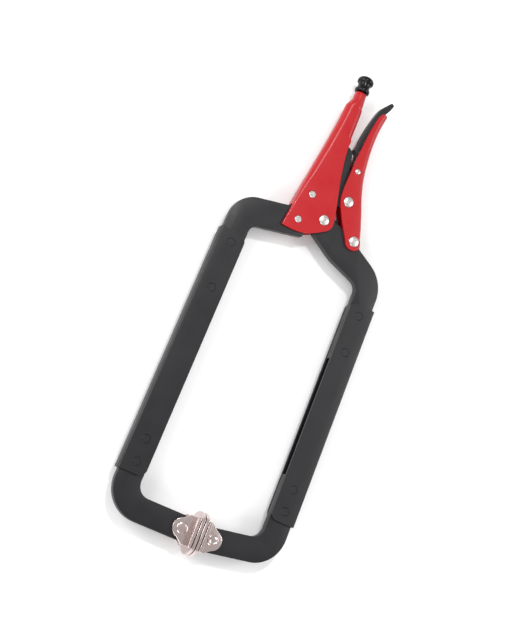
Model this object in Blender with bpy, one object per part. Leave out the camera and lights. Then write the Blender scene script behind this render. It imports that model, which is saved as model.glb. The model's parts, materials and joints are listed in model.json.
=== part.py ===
"""Long-reach locking pliers: a C-clamp with channel arms, swivel pads and a toggle lock.

The tool lies flat. X runs across the throat, from the fixed arm to the moving arm,
Y runs along the arms towards the handles, and Z is the tool's thickness, up.
Sizes are in millimetres and are laid out from the jaw pivot. The part's own origin
is the centre of its box, on the surface that it lies on.
"""
import math

import bmesh
import bpy
from mathutils import Matrix, Vector

MM = 0.001                       # one millimetre in Blender's metres

# --- stock and fits ---
FIT = 0.3                        # air between pieces that touch or slide
HOLE_FIT = 0.25                  # radial air round a rivet's shank
BAR_THICK = 9.5                  # jaw and tip bars
BAR_WIDTH = 30.2
ARM_SHEET = 2.5                  # arm channels
HANDLE_SHEET = 2.5               # handle channels
ARM_FOLD = 1.8                   # outer radius of the arms' folded edges
BAR_CHAMFER = 0.6
ARC_STEP = 15.0                  # degrees of arc for each flat
ROUND_SIDES = 16                 # flats round a rivet or a hole

# --- pivots, from the jaw pivot ---
JAW_PIVOT = (0.0, 0.0)
LEVER_PIVOT = (45.8, -6.3)       # moving jaw to lower handle
LINK_PIVOT = (20.7, 35.3)        # lower handle to toggle link
RELEASE_PIVOT = (17.6, 75.6)     # lower handle to release lever
LINK_TIP = (-13.3, 98.0)         # end of the toggle link, on the screw's axis
SCREW_X = LINK_TIP[0]

# --- arms: centre of the channel's upper end, its length and its lean outwards ---
REACH = 400.0                    # jaw pivot to the middle of the pads
FIXED_ARM_TOP = (-96.3, -64.0)
FIXED_ARM_LENGTH = REACH + FIXED_ARM_TOP[1] - 34.0      # ends above the pads' middle
FIXED_ARM_LEAN = 0.8             # degrees
MOVING_ARM_TOP = (87.2, -73.3)
MOVING_ARM_LENGTH = REACH + MOVING_ARM_TOP[1] - 49.2
MOVING_ARM_LEAN = 0.2
END_RIVET = 13.5                 # outermost rivets, from each end of a channel
FIXED_ARM_INNER = 72.0           # inner rivet of the fixed jaw, from the channel's upper end
MOVING_ARM_INNER = 61.5
TIP_INNER = 40.5                 # inner rivet of an arm's tip, from the channel's lower end
ARM_CORNER = 9.0                 # rounded flange corner, open side

# --- bars ---
FIXED_BAR_SLOPE = 14.3           # degrees, cross bar of the fixed jaw
FIXED_BAR_TOP_Y = 9.3            # height at which its upper edge would meet the jaw pivot's X
FIXED_BAR_WIDE = 34.4
JAW_BEND = 34.0                  # outer bend radius of the fixed jaw
MOVING_BEND = 42.0
INNER_BEND = 12.0
TIP_BEND = 40.0
TIP_INNER_BEND = 15.0
JAW_HUB = 12.4                   # moving jaw round its pivot
LEVER_HUB = 10.3                 # moving jaw round the lower handle's pivot
HUB_AIR = 1.4                    # air between the moving hub and the fixed jaw

# --- pads ---
PAD_FACE_X = -2.3                # where the two pads meet
PAD_Y = -REACH
PAD_REACH = 19.7                 # rivet to contact face
PAD_RADIUS = 26.0
PAD_HALF_WIDTH = 19.0            # flats on the round pad
PAD_THICK = 4.5
BACK_THICK = 4.2                 # backing plate that carries the ears
BACK_HEIGHT = 36.0
EAR_SHEET = 3.0
EAR_RADIUS = 11.6
PAD_SWIVEL = 18.0                # degrees each way
MOVING_TIP_SLOPE = 9.3           # degrees, the moving tip falls towards its pad

# --- handles ---
UPPER_SPINE = [(-47.6, -28.3), (-44.3, -1.5), (-41.1, 26.7), (-36.1, 63.3),
               (-32.3, 89.7), (-29.8, 109.6), (-27.5, 130.0), (-26.3, 147.0)]
UPPER_EDGE = [(-6.0, 109.0), (-4.7, 104.5), (-5.3, 97.0), (-3.2, 76.8), (2.2, 49.1),
              (8.8, 23.1), (12.4, 7.0)]
UPPER_FOLD = [(-30.0, 0.8), (0.0, 2.0), (29.0, 4.0), (49.0, 6.2), (68.0, 7.0)]
UPPER_NOSE = 13.4                # handle's round nose about the jaw pivot
ROLL_START = 109.0               # above this the open side is rolled shut
ROLL_X = -3.9                    # and this is its outside
ROLL_FOLD = 7.2
CAVITY_END = 126.0
BACK_EXTRA = 0.7                 # more wall behind the rounded backs
SCREW_RADIUS = 4.5
TUBE_BORE = SCREW_RADIUS + 0.4
TUBE_OUTER = TUBE_BORE + 3.4     # radius of the roll where it closes on the screw
TUBE_TAPER = 0.8                 # it narrows by this much to its end
NECK_START = 147.0
TUBE_START = 162.0
SHOULDER = (148.5, 151.5)        # heights of the step on the open side
TUBE_END = 170.5
LOWER_SPINE = [(51.2, 7.2), (45.1, 26.3), (35.0, 54.7), (30.0, 76.1), (27.5, 95.4),
               (26.1, 114.9), (26.6, 134.9), (28.3, 148.5), (29.6, 156.0)]
LOWER_EDGE = [(17.6, 152.5), (14.1, 131.5), (12.2, 111.5), (10.4, 91.6), (9.6, 70.0),
              (9.3, 46.2), (10.4, 34.0), (13.6, 25.6), (25.0, 5.9), (36.4, -11.2)]
LOWER_FOLD = [(-20.0, 2.6), (8.0, 3.0), (26.0, 4.5), (55.0, 6.0), (76.0, 7.0)]
LOWER_NOSE = 11.0                # lower handle round its jaw pivot
LOWER_WEB_START = 7.4

# --- screw and knob ---
SCREW_GAP = 4.0                  # link tip's own swing below the screw
LINK_TIP_RADIUS = 6.0
SCREW_TIP = LINK_TIP[1] + LINK_TIP_RADIUS + SCREW_GAP
KNOB_START = TUBE_END + 1.5
KNOB_FLANGE = 9.3
KNOB_WAIST = 7.8
KNOB_HEAD = 10.4
KNOB_CAP = KNOB_START + 12.0     # underside of its rounded cap
KNOB_END = KNOB_START + 22.0
KNOB_SOCKET = 10.0               # screw pressed into the knob

# --- toggle link and release lever ---
LINK_THICK = BAR_THICK - 1.0     # both work inside the lower handle
LEVER_WIDTH = BAR_THICK - 0.9
LEVER_SHEET = 1.8
LEVER_FOLD = 1.4
RELEASE_BOSS = 5.2

# --- spring ---
SPRING_JAW = (17.0, 8.0)         # hook eye in the moving jaw
SPRING_TAB = (-24.0, 46.0)       # hook eye in the upper handle
SPRING_LOOP = 2.4                # mean radius of coil and hooks
SPRING_WIRE = 0.5                # wire radius
SPRING_TURNS = 14
EYE_HOLE = 1.3
EYE_LUG = 3.2
EYE_THICK = 2.6

# --- rivets: shank radius, head radius, head height ---
PIVOT_RIVET = (4.0, 6.4, 2.2)
FLUSH_RIVET = (4.2, 4.2, 0.3)
PIN_RIVET = (2.4, 3.4, 1.3)
ARM_RIVET = (4.8, 4.8, 0.3)
PAD_RIVET = (4.0, 6.8, 2.0)

INNER_HALF = BAR_THICK / 2 + FIT           # inside of every channel
ARM_HALF = INNER_HALF + ARM_SHEET
HANDLE_HALF = INNER_HALF + HANDLE_SHEET
EAR_INNER = BAR_THICK / 2 + FIT
EAR_OUTER = EAR_INNER + EAR_SHEET

BLACK = ((0.012, 0.012, 0.013), 0.45, 0.0)
RED = ((0.62, 0.012, 0.012), 0.35, 0.0)
ZINC = ((0.75, 0.74, 0.70), 0.35, 1.0)
NICKEL = ((0.66, 0.62, 0.57), 0.25, 1.0)
OXIDE = ((0.02, 0.02, 0.021), 0.3, 0.6)


# ---------------------------------------------------------------- outlines
def arc(centre, radius, start, end):
    """Points on an arc, in degrees, from start to end."""
    count = max(2, math.ceil(abs(end - start) / ARC_STEP) + 1)
    points = []
    for i in range(count):
        angle = math.radians(start + (end - start) * i / (count - 1))
        points.append((centre[0] + radius * math.cos(angle),
                       centre[1] + radius * math.sin(angle)))
    return points


def rounded(corners):
    """An outline from (x, y) points and (x, y, radius) corners."""
    points = []
    for i, corner in enumerate(corners):
        here = Vector(corner[:2])
        if len(corner) == 2:
            points.append(tuple(here))
            continue
        back = (Vector(corners[i - 1][:2]) - here).normalized()
        ahead = (Vector(corners[(i + 1) % len(corners)][:2]) - here).normalized()
        half = back.angle(ahead) / 2
        radius = corner[2]
        centre = here + (back + ahead).normalized() * radius / math.sin(half)
        first = here + back * radius / math.tan(half) - centre
        last = here + ahead * radius / math.tan(half) - centre
        turn = first.angle_signed(last)
        count = max(2, math.ceil(abs(math.degrees(turn)) / ARC_STEP) + 1)
        for k in range(count):
            points.append(tuple(centre + Matrix.Rotation(-turn * k / (count - 1), 2) @ first))
    return points


def flowing(points, steps=3):
    """A smooth line through a few points (Catmull-Rom)."""
    line = [Vector(p) for p in points]
    line = [2 * line[0] - line[1]] + line + [2 * line[-1] - line[-2]]
    result = []
    for i in range(1, len(line) - 2):
        a, b, c, d = line[i - 1:i + 3]
        for k in range(steps):
            t = k / steps
            point = 0.5 * (2 * b + (c - a) * t + (2 * a - 5 * b + 4 * c - d) * t ** 2
                           + (3 * b - a - 3 * c + d) * t ** 3)
            result.append(tuple(point))
    result.append(tuple(line[-2]))
    return result


def beside(points, distance):
    """The same line moved sideways, to the right of its direction."""
    result = []
    for i, point in enumerate(points):
        before = Vector(points[max(i - 1, 0)])
        after = Vector(points[min(i + 1, len(points) - 1)])
        along = (after - before).normalized()
        result.append((point[0] + along.y * distance, point[1] - along.x * distance))
    return result


def at_height(points, y):
    """Where a line that climbs in Y crosses a height."""
    for (x0, y0), (x1, y1) in zip(points, points[1:]):
        if min(y0, y1) <= y <= max(y0, y1):
            return x0 + (x1 - x0) * (y - y0) / (y1 - y0)
    return points[-1][0]


def between(table, y):
    """A value read off a short table of (height, value), eased between its rows."""
    for (y0, a), (y1, b) in zip(table, table[1:]):
        if y <= y1:
            return a + (b - a) * eased((y - y0) / (y1 - y0))
    return table[-1][1]


def eased(share):
    """0 to 1, starting and ending gently."""
    share = min(max(share, 0.0), 1.0)
    return share * share * (3 - 2 * share)


# ---------------------------------------------------------------- solids
def finish(name, bm, origin=(0.0, 0.0)):
    """Make an object of a bmesh whose coordinates are in millimetres."""
    bmesh.ops.recalc_face_normals(bm, faces=bm.faces)
    bmesh.ops.translate(bm, verts=bm.verts, vec=(-origin[0], -origin[1], 0))
    bmesh.ops.scale(bm, verts=bm.verts, vec=(MM, MM, MM))
    mesh = bpy.data.meshes.new(name)
    bm.to_mesh(mesh)
    bm.free()
    obj = bpy.data.objects.new(name, mesh)
    obj.location = (origin[0] * MM, origin[1] * MM, 0)
    bpy.context.collection.objects.link(obj)
    return obj


def prism_mesh(outline, low, high, folds=(), fold=0.0, chamfer=0.0):
    """An outline given thickness; folds are index ranges whose long edges are rounded."""
    bm = bmesh.new()
    lower = [bm.verts.new((x, y, low)) for x, y in outline]
    upper = [bm.verts.new((x, y, high)) for x, y in outline]
    count = len(outline)
    bm.faces.new(upper)
    bm.faces.new(lower[::-1])
    for i in range(count):
        j = (i + 1) % count
        bm.faces.new((lower[i], lower[j], upper[j], upper[i]))
    bmesh.ops.recalc_face_normals(bm, faces=bm.faces)
    edges = []
    for first, last in folds:
        for i in range(first, last):
            edges.append(bm.edges.get((upper[i], upper[i + 1])))
            edges.append(bm.edges.get((lower[i], lower[i + 1])))
    if edges:
        bmesh.ops.bevel(bm, geom=edges, offset=fold, offset_type='OFFSET', segments=3,
                        profile=0.5, affect='EDGES', clamp_overlap=True, material=-1)
    elif chamfer:
        rims = [e for e in bm.edges if abs(e.verts[0].co.z - e.verts[1].co.z) < 1e-6]
        bmesh.ops.bevel(bm, geom=rims, offset=chamfer, offset_type='OFFSET', segments=1,
                        profile=0.5, affect='EDGES', clamp_overlap=True, material=-1)
    return bm


def prism(name, outline, low, high, origin=(0.0, 0.0), **edges):
    return finish(name, prism_mesh(outline, low, high, **edges), origin)


def handle_slice(y, left, right, half, fold_left, fold_right, steps=3):
    """A level slice through a handle: a box whose two sides are folded round."""
    limit = min(half, (right - left) / 2) - 0.02
    points = []
    for side, x, fold in ((1, right, min(fold_right, limit)), (-1, left, min(fold_left, limit))):
        for upper in (False, True):
            for k in range(steps + 1):
                turn = math.radians(90 * k / steps)
                reach, rise = (math.sin(turn), -math.cos(turn)) if not upper else \
                    (math.cos(turn), math.sin(turn))
                points.append((x - side * fold * (1 - reach), y,
                               side * (rise * fold + (half - fold if upper else fold - half))))
    return points


def drawn(name, slices, origin=(0.0, 0.0)):
    """A solid drawn on from slice to slice."""
    bm = bmesh.new()
    rings = [[bm.verts.new(p) for p in points] for points in slices]
    bm.faces.new(rings[0])
    bm.faces.new(rings[-1])
    for lower, upper in zip(rings, rings[1:]):
        for i in range(len(lower)):
            j = (i + 1) % len(lower)
            bm.faces.new((lower[i], lower[j], upper[j], upper[i]))
    return finish(name, bm, origin)


def turned_mesh(profile, segments):
    """A (radius, height) profile turned round Z."""
    bm = bmesh.new()
    verts = [bm.verts.new((r, 0, z)) for r, z in profile]
    for a, b in zip(verts, verts[1:]):
        bm.edges.new((a, b))
    bmesh.ops.spin(bm, geom=bm.verts[:] + bm.edges[:], cent=(0, 0, 0), axis=(0, 0, 1),
                   angle=math.tau, steps=segments, use_merge=True)
    bmesh.ops.remove_doubles(bm, verts=bm.verts, dist=1e-4)
    return bm


def turned(name, profile, centre, segments=ROUND_SIDES, origin=None):
    """A piece turned about a vertical axis."""
    bm = turned_mesh(profile, segments)
    bmesh.ops.translate(bm, verts=bm.verts, vec=(centre[0], centre[1], 0))
    return finish(name, bm, origin or centre)


def turned_along(name, profile, x, segments=24):
    """A piece turned about the screw's axis; heights in the profile run along Y."""
    bm = turned_mesh(profile, segments)
    bmesh.ops.rotate(bm, verts=bm.verts, cent=(0, 0, 0), matrix=Matrix.Rotation(-math.pi / 2, 3, 'X'))
    bmesh.ops.translate(bm, verts=bm.verts, vec=(x, 0, 0))
    return finish(name, bm, (x, profile[0][1]))


def combine(target, tool, operation):
    """Apply an exact Boolean and drop the tool."""
    modifier = target.modifiers.new(operation, 'BOOLEAN')
    modifier.operation = operation
    modifier.solver = 'EXACT'
    modifier.object = tool
    bpy.context.view_layer.update()
    graph = bpy.context.evaluated_depsgraph_get()
    mesh = bpy.data.meshes.new_from_object(target.evaluated_get(graph))
    target.modifiers.remove(modifier)
    old = target.data
    target.data = mesh
    mesh.name = target.name
    bpy.data.meshes.remove(old)
    bpy.data.objects.remove(tool, do_unlink=True)


def cut(target, tool):
    combine(target, tool, 'DIFFERENCE')


def join(target, tool):
    combine(target, tool, 'UNION')


def drill(target, centre, radius, half=40.0, segments=ROUND_SIDES):
    cut(target, turned('drill', [(0, -half), (radius, -half), (radius, half), (0, half)],
                       centre, segments))


def rivet(name, centre, kind, half, origin=None):
    """A through rivet: shank between two formed heads over a stack 2 * half thick."""
    shank, head, height = kind
    if head > shank:
        seat = half + FIT
        top = [(shank, seat), (head, seat), (head, seat + 0.45 * height),
               (0.78 * head, seat + 0.88 * height), (0, seat + height)]
    else:
        top = [(shank, half - 0.3), (shank - 0.6, half + height), (0, half + height)]
    bottom = [(r, -z) for r, z in reversed(top)]
    return turned(name, bottom + top, centre, origin=origin)


def paint(obj, finish_values, smooth=True):
    colour, roughness, metallic = finish_values
    material = bpy.data.materials.new(obj.name)
    material.use_nodes = True
    shader = material.node_tree.nodes['Principled BSDF']
    shader.inputs['Base Color'].default_value = (*colour, 1.0)
    shader.inputs['Roughness'].default_value = roughness
    shader.inputs['Metallic'].default_value = metallic
    obj.data.materials.clear()
    obj.data.materials.append(material)
    if smooth:
        obj.data.shade_smooth()
        obj.data.set_sharp_from_angle(angle=math.radians(32))


# ---------------------------------------------------------------- arms
class Arm:
    """A channel arm's own directions: down its length, and outwards across it."""

    def __init__(self, top, length, lean, side, inner):
        self.top = Vector(top)
        self.length = length
        self.rivets = (END_RIVET, inner, length - TIP_INNER, length - END_RIVET)
        self.side = side
        angle = math.radians(lean)
        self.down = Vector((side * math.sin(angle), -math.cos(angle)))
        self.out = Vector((side * math.cos(angle), math.sin(angle)))

    def at(self, along, across):
        return tuple(self.top + self.down * along + self.out * across)


FIXED_ARM = Arm(FIXED_ARM_TOP, FIXED_ARM_LENGTH, FIXED_ARM_LEAN, -1, FIXED_ARM_INNER)
MOVING_ARM = Arm(MOVING_ARM_TOP, MOVING_ARM_LENGTH, MOVING_ARM_LEAN, 1, MOVING_ARM_INNER)
BAR_HALF = BAR_WIDTH / 2
OPEN_EDGE = -(BAR_HALF + FIT)              # the channel's flanges end level with the bar
WEB_FACE = BAR_HALF + FIT                  # inner face of the web


def arm_channel(name, arm, origin=(0.0, 0.0)):
    """A folded channel: web outside, open to the throat, riveted to a bar at each end."""
    outer = WEB_FACE + ARM_SHEET
    outline = rounded([arm.at(0, outer), arm.at(arm.length, outer),
                       (*arm.at(arm.length, OPEN_EDGE), ARM_CORNER),
                       (*arm.at(0, OPEN_EDGE), ARM_CORNER)])
    obj = prism(name, outline, -ARM_HALF, ARM_HALF, origin, folds=[(0, 1)], fold=ARM_FOLD)
    hollow = [arm.at(-5, WEB_FACE), arm.at(arm.length + 5, WEB_FACE),
              arm.at(arm.length + 5, OPEN_EDGE - 5), arm.at(-5, OPEN_EDGE - 5)]
    cut(obj, prism('hollow', hollow, -INNER_HALF, INNER_HALF))
    for along in arm.rivets:
        drill(obj, arm.at(along, 0), ARM_RIVET[0] + HOLE_FIT)
    paint(obj, BLACK)
    return obj


def arm_rivets(prefix, arm, origin=None):
    labels = ('upper_outer', 'upper_inner', 'lower_inner', 'lower_outer')
    for label, along in zip(labels, arm.rivets):
        paint(rivet(f'{prefix}_rivet_{label}', arm.at(along, 0), ARM_RIVET, ARM_HALF, origin), BLACK)


def bar(name, outline, holes, origin=(0.0, 0.0)):
    """Flat bar stock with eased edges and rivet holes."""
    obj = prism(name, outline, -BAR_THICK / 2, BAR_THICK / 2, origin, chamfer=BAR_CHAMFER)
    for centre, radius in holes:
        drill(obj, centre, radius + HOLE_FIT)
    return obj


# ---------------------------------------------------------------- fixed jaw side
def fixed_bar_y(x, below=0.0):
    """Height of the cross bar's upper edge, or of a line that far below it, square to it."""
    slope = math.radians(FIXED_BAR_SLOPE)
    return FIXED_BAR_TOP_Y + x * math.tan(slope) - below / math.cos(slope)


FIXED_RIVETS = ((-25.6, 22.2), (-30.9, -13.9))


def fixed_jaw():
    arm = FIXED_ARM
    outer = arm.at(-45, BAR_HALF)[0]
    inner = arm.at(-18, -BAR_HALF)[0]
    wall = UPPER_SPINE[1][0] + HANDLE_SHEET + 1.4
    throat_end = (-17.3, fixed_bar_y(-17.3, FIXED_BAR_WIDE))
    insert = arm.rivets[1] + END_RIVET
    outline = rounded([
        arm.at(insert, -BAR_HALF), arm.at(insert, BAR_HALF),
        (outer, fixed_bar_y(outer), JAW_BEND),
        (wall, fixed_bar_y(wall), 3.0),
        (wall + 3.6, 22.0, 12.0), (wall + 7.0, 31.5, 5.0), (-19.0, 31.5, 6.0),
        *arc(JAW_PIVOT, JAW_HUB + HUB_AIR, 145, 205),
        (*throat_end, 1.5),
        (inner, fixed_bar_y(inner, FIXED_BAR_WIDE), INNER_BEND)])
    holes = [(centre, FLUSH_RIVET[0]) for centre in FIXED_RIVETS]
    holes += [(arm.at(d, 0), ARM_RIVET[0]) for d in arm.rivets[:2]]
    paint(bar('fixed_jaw', outline, holes), BLACK)
    for label, centre in zip(('upper', 'lower'), FIXED_RIVETS):
        paint(rivet(f'fixed_jaw_rivet_{label}', centre, FLUSH_RIVET, HANDLE_HALF), ZINC)


def pad_end(rivet_at, toward, slope):
    """Bar end shaped so that a pad can swivel: an arc between two raked flats."""
    reach = PAD_REACH - PAD_THICK - BACK_THICK - 2 * FIT
    half = BAR_WIDTH / 2 - 0.5
    rake = math.radians(PAD_SWIVEL + 1.5)
    along = Vector((math.cos(math.radians(slope)), math.sin(math.radians(slope))))
    across = Vector((-along.y, along.x))

    def corner(side):
        """Where the raked flat on one side meets that edge of the bar."""
        normal = Vector((math.cos(rake), side * math.sin(rake)))
        flat = Vector((-math.sin(rake), side * math.cos(rake)))
        return reach * normal + flat * (side * half - reach * normal.dot(across)) / flat.dot(across)

    lower, upper = corner(-1), corner(1)
    local = [lower - 6.0 * along, lower, *arc((0, 0), reach, -PAD_SWIVEL, PAD_SWIVEL),
             upper, upper - 6.0 * along]
    return [(rivet_at[0] + toward * x, rivet_at[1] + y) for x, y in local]


FIXED_PAD_RIVET = (PAD_FACE_X - PAD_REACH, PAD_Y)
MOVING_PAD_RIVET = (PAD_FACE_X + PAD_REACH, PAD_Y)


def arm_tip(name, arm, pad_rivet, toward, slope, origin=(0.0, 0.0)):
    """The bent bar from a channel's lower end to its pad."""
    start = arm.length - TIP_INNER - END_RIVET
    end = pad_end(pad_rivet, toward, slope)
    tilt = math.tan(math.radians(slope))
    outer_x = arm.at(arm.length + 25, BAR_HALF)[0]
    inner_x = arm.at(arm.length + 10, -BAR_HALF)[0]
    lower, upper = end[0], end[-1]
    outer_y = lower[1] + (outer_x - lower[0]) * toward * tilt
    inner_y = upper[1] + (inner_x - upper[0]) * toward * tilt
    outline = rounded([arm.at(start, -BAR_HALF), arm.at(start, BAR_HALF),
                       (outer_x, outer_y, TIP_BEND), *end, (inner_x, inner_y, TIP_INNER_BEND)])
    holes = [(arm.at(d, 0), ARM_RIVET[0]) for d in arm.rivets[2:]]
    holes.append((pad_rivet, PAD_RIVET[0]))
    paint(bar(name, outline, holes, origin), BLACK)


# ---------------------------------------------------------------- moving jaw
def moving_jaw():
    arm = MOVING_ARM
    outer = arm.at(-35, BAR_HALF)[0]
    inner = arm.at(-20, -BAR_HALF)[0]
    insert = arm.rivets[1] + END_RIVET
    outline = rounded([
        (-4.7, -20.7, 2.0), (27.5, -38.5, 60.0), (inner, -52.6, INNER_BEND),
        arm.at(insert, -BAR_HALF), arm.at(insert, BAR_HALF),
        (outer, -33.4, MOVING_BEND), (57.6, -10.6, 3.0),
        *arc(LEVER_PIVOT, LEVER_HUB, 10, 150),
        (25.0, 4.0, 10.0),
        *arc(JAW_PIVOT, JAW_HUB, 30, 200)])
    holes = [(JAW_PIVOT, PIVOT_RIVET[0]), (LEVER_PIVOT, PIVOT_RIVET[0])]
    holes += [(arm.at(d, 0), ARM_RIVET[0]) for d in arm.rivets[:2]]
    obj = bar('moving_jaw', outline, [])
    ear = [*arc(SPRING_JAW, EYE_LUG, -20, 160), (8.0, 2.0), (20.0, -6.0)]
    join(obj, prism('spring_eye', ear, -EYE_THICK / 2, EYE_THICK / 2))
    for centre, radius in holes:
        drill(obj, centre, radius + HOLE_FIT)
    drill(obj, SPRING_JAW, EYE_HOLE, segments=12)
    paint(obj, BLACK)


# ---------------------------------------------------------------- handles
def upper_handle():
    """The fixed handle: a folded channel, rolled shut above and drawn into a threaded end."""
    spine = flowing([(UPPER_SPINE[0][0] - 2.0, -44.0), *UPPER_SPINE], 2)
    far = UPPER_NOSE + 20
    foot = UPPER_SPINE[0][1] - 8.0         # slices start below the handle and run past its sides
    count = 19
    slices = []
    for k in range(count + 1):
        y = foot + (ROLL_START - foot) * k / count
        slices.append(handle_slice(y, at_height(spine, y), far, HANDLE_HALF,
                                   between(UPPER_FOLD, y), 0.5))
    slices[-1] = [(x, ROLL_START - 0.02, z) for x, y, z in slices[-1]]
    for k in range(5):
        y = ROLL_START + (NECK_START - ROLL_START) * k / 4
        slices.append(handle_slice(y, at_height(spine, y), ROLL_X, HANDLE_HALF, ROLL_FOLD, ROLL_FOLD))
    left = at_height(spine, NECK_START)
    middle = sum(SHOULDER) / 2
    for y in (SHOULDER[0], middle, SHOULDER[1], 156.5, TUBE_START, TUBE_END - 0.8, TUBE_END):
        radius = TUBE_OUTER - TUBE_TAPER * eased((y - NECK_START) / (TUBE_END - NECK_START))
        if y == TUBE_END:
            radius -= 0.8
        inward = eased((y - NECK_START) / (TUBE_START - NECK_START))
        step = eased((y - SHOULDER[0]) / (SHOULDER[1] - SHOULDER[0]))
        half = HANDLE_HALF + (radius - HANDLE_HALF) * step
        slices.append(handle_slice(y, left + (SCREW_X - radius - left) * inward,
                                   ROLL_X + (SCREW_X + radius - ROLL_X) * step, half, half, half))
    obj = drawn('upper_handle', slices)

    nose = arc(JAW_PIVOT, UPPER_NOSE, 15, -50)
    lower = flowing([nose[-1], (-2.0, -17.8), (-14.0, -24.4), (-27.0, -27.8), (-40.0, -28.6),
                     UPPER_SPINE[0], (-60.0, -27.5)], 2)[1:]
    outline = [(-60.0, 190.0), (20.0, 190.0), (20.0, ROLL_START), *flowing(UPPER_EDGE, 2),
               *nose, *lower]
    combine(obj, prism('outline', outline, -20, 20), 'INTERSECT')

    inside = beside(spine, HANDLE_SHEET + BACK_EXTRA)
    web_start = fixed_bar_y(UPPER_SPINE[1][0]) + 3.0
    climb = [p for p in inside if web_start + 2 < p[1] < CAVITY_END - 2]
    cavity = [(-70.0, -50.0), (-70.0, web_start), (at_height(inside, web_start), web_start),
              *climb, (at_height(inside, CAVITY_END), CAVITY_END),
              (ROLL_X - ROLL_FOLD / 2, CAVITY_END), (ROLL_X - ROLL_FOLD / 2, ROLL_START),
              (far + 5, ROLL_START), (far + 5, -50.0)]
    cut(obj, prism('cavity', cavity, -INNER_HALF, INNER_HALF))
    bore_start = SCREW_TIP - FIT
    cut(obj, turned_along('bore', [(0, bore_start), (TUBE_BORE, bore_start),
                                   (TUBE_BORE, TUBE_END + 4), (0, TUBE_END + 4)], SCREW_X))
    tab_root = at_height(inside, SPRING_TAB[1]) - 1.0
    tab = [(tab_root, SPRING_TAB[1] - 5), *arc(SPRING_TAB, EYE_LUG, -90, 90),
           (tab_root, SPRING_TAB[1] + 5)]
    join(obj, prism('spring_tab', tab, -EYE_THICK / 2, EYE_THICK / 2))
    drill(obj, SPRING_TAB, EYE_HOLE, EYE_THICK, 12)
    drill(obj, JAW_PIVOT, PIVOT_RIVET[0] + HOLE_FIT)
    for centre in FIXED_RIVETS:
        drill(obj, centre, FLUSH_RIVET[0] + HOLE_FIT)
    paint(obj, RED)


def lower_handle():
    """The moving handle: a folded channel, open to the upper handle and at both ends."""
    back = flowing([(60.0, -24.0), *LOWER_SPINE, (31.0, 164.0)], 2)
    spine = flowing(LOWER_SPINE, 2)
    slices = []
    for k in range(21):
        y = -24.0 + 9.2 * k
        slices.append(handle_slice(y, -20.0, at_height(back, y), HANDLE_HALF, 0.5,
                                   between(LOWER_FOLD, y)))
    obj = drawn('lower_handle', slices, LEVER_PIVOT)
    nose = arc(LEVER_PIVOT, LOWER_NOSE, 207, 382)
    end = rounded([spine[-1], (27.5, 160.0, 3.0), (21.5, 159.5, 4.0), LOWER_EDGE[0]])[1:-1]
    beyond = [(x + 2.0, y) for x, y in spine if y > 12]        # past the rounded back
    outline = [spine[0], *beyond, (spine[-1][0] + 2.0, 160.5), *end, *flowing(LOWER_EDGE, 2), *nose]
    combine(obj, prism('outline', outline, -20, 20), 'INTERSECT')
    inside = beside(spine, -HANDLE_SHEET - BACK_EXTRA)
    climb = [p for p in inside if p[1] > LOWER_WEB_START + 2]
    cavity = [(90.0, -40.0), (90.0, LOWER_WEB_START), (at_height(inside, LOWER_WEB_START), LOWER_WEB_START),
              *climb, (climb[-1][0], 180.0), (-20.0, 180.0), (-20.0, -40.0)]
    cut(obj, prism('cavity', cavity, -INNER_HALF, INNER_HALF))
    drill(obj, LEVER_PIVOT, PIVOT_RIVET[0] + HOLE_FIT)
    drill(obj, LINK_PIVOT, PIVOT_RIVET[0] + HOLE_FIT)
    drill(obj, RELEASE_PIVOT, PIN_RIVET[0] + HOLE_FIT)
    paint(obj, RED)


def toggle_link():
    """The strut between the lower handle and the screw."""
    outline = rounded([*arc(LINK_TIP, LINK_TIP_RADIUS, 70, 205), (7.0, 25.6, 4.0),
                       *arc(LINK_PIVOT, 9.6, -95, 40), (12.3, 62.0, 12.0), (3.4, 96.4, 2.5)])
    obj = prism('toggle_link', outline, -LINK_THICK / 2, LINK_THICK / 2, LINK_PIVOT, chamfer=0.7)
    drill(obj, LINK_PIVOT, PIVOT_RIVET[0] + HOLE_FIT)
    paint(obj, BLACK)


def release_lever():
    """A thin channel in the mouth of the lower handle, its tip past the handle's end."""
    back = flowing([(4.4, 100.4), (6.4, 106.5), (7.2, 118.0), (9.6, 134.0), (13.1, 150.3),
                    (16.8, 162.3), (19.6, 167.8), (22.3, 170.6), (23.6, 173.2), (26.4, 176.9)], 2)
    tip = arc((29.0, 175.9), 2.7, 130, -10)
    inner = flowing([(29.4, 169.0), (25.2, 160.5), (19.6, 147.0), (16.2, 130.0), (14.9, 112.0),
                     (16.6, 98.0), (21.6, 84.0)], 2)
    boss = arc(RELEASE_PIVOT, RELEASE_BOSS, 30, -170)
    outline = [*back, *tip, *inner, *boss, (10.8, 87.0), (8.9, 95.6)]
    half = LEVER_WIDTH / 2
    obj = prism('release_lever', outline, -half, half, RELEASE_PIVOT,
                folds=[(0, len(back) - 1)], fold=LEVER_FOLD)
    floor = beside(back, LEVER_SHEET)
    hollow = [*[p for p in floor if 104 < p[1] < 163], (60.0, 163.0), (60.0, 60.0), (5.0, 60.0), (14.0, 92.0)]
    cut(obj, prism('hollow', hollow, LEVER_SHEET - half, half - LEVER_SHEET))
    drill(obj, RELEASE_PIVOT, PIN_RIVET[0] + HOLE_FIT)
    paint(obj, BLACK)


# ---------------------------------------------------------------- screw and knob
def adjusting_screw():
    end = KNOB_START + KNOB_SOCKET
    profile = [(0, SCREW_TIP), (SCREW_RADIUS - 1.2, SCREW_TIP), (SCREW_RADIUS, SCREW_TIP + 1.5),
               (SCREW_RADIUS, end), (0, end)]
    paint(turned_along('adjusting_screw', profile, SCREW_X, 20), OXIDE)


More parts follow.
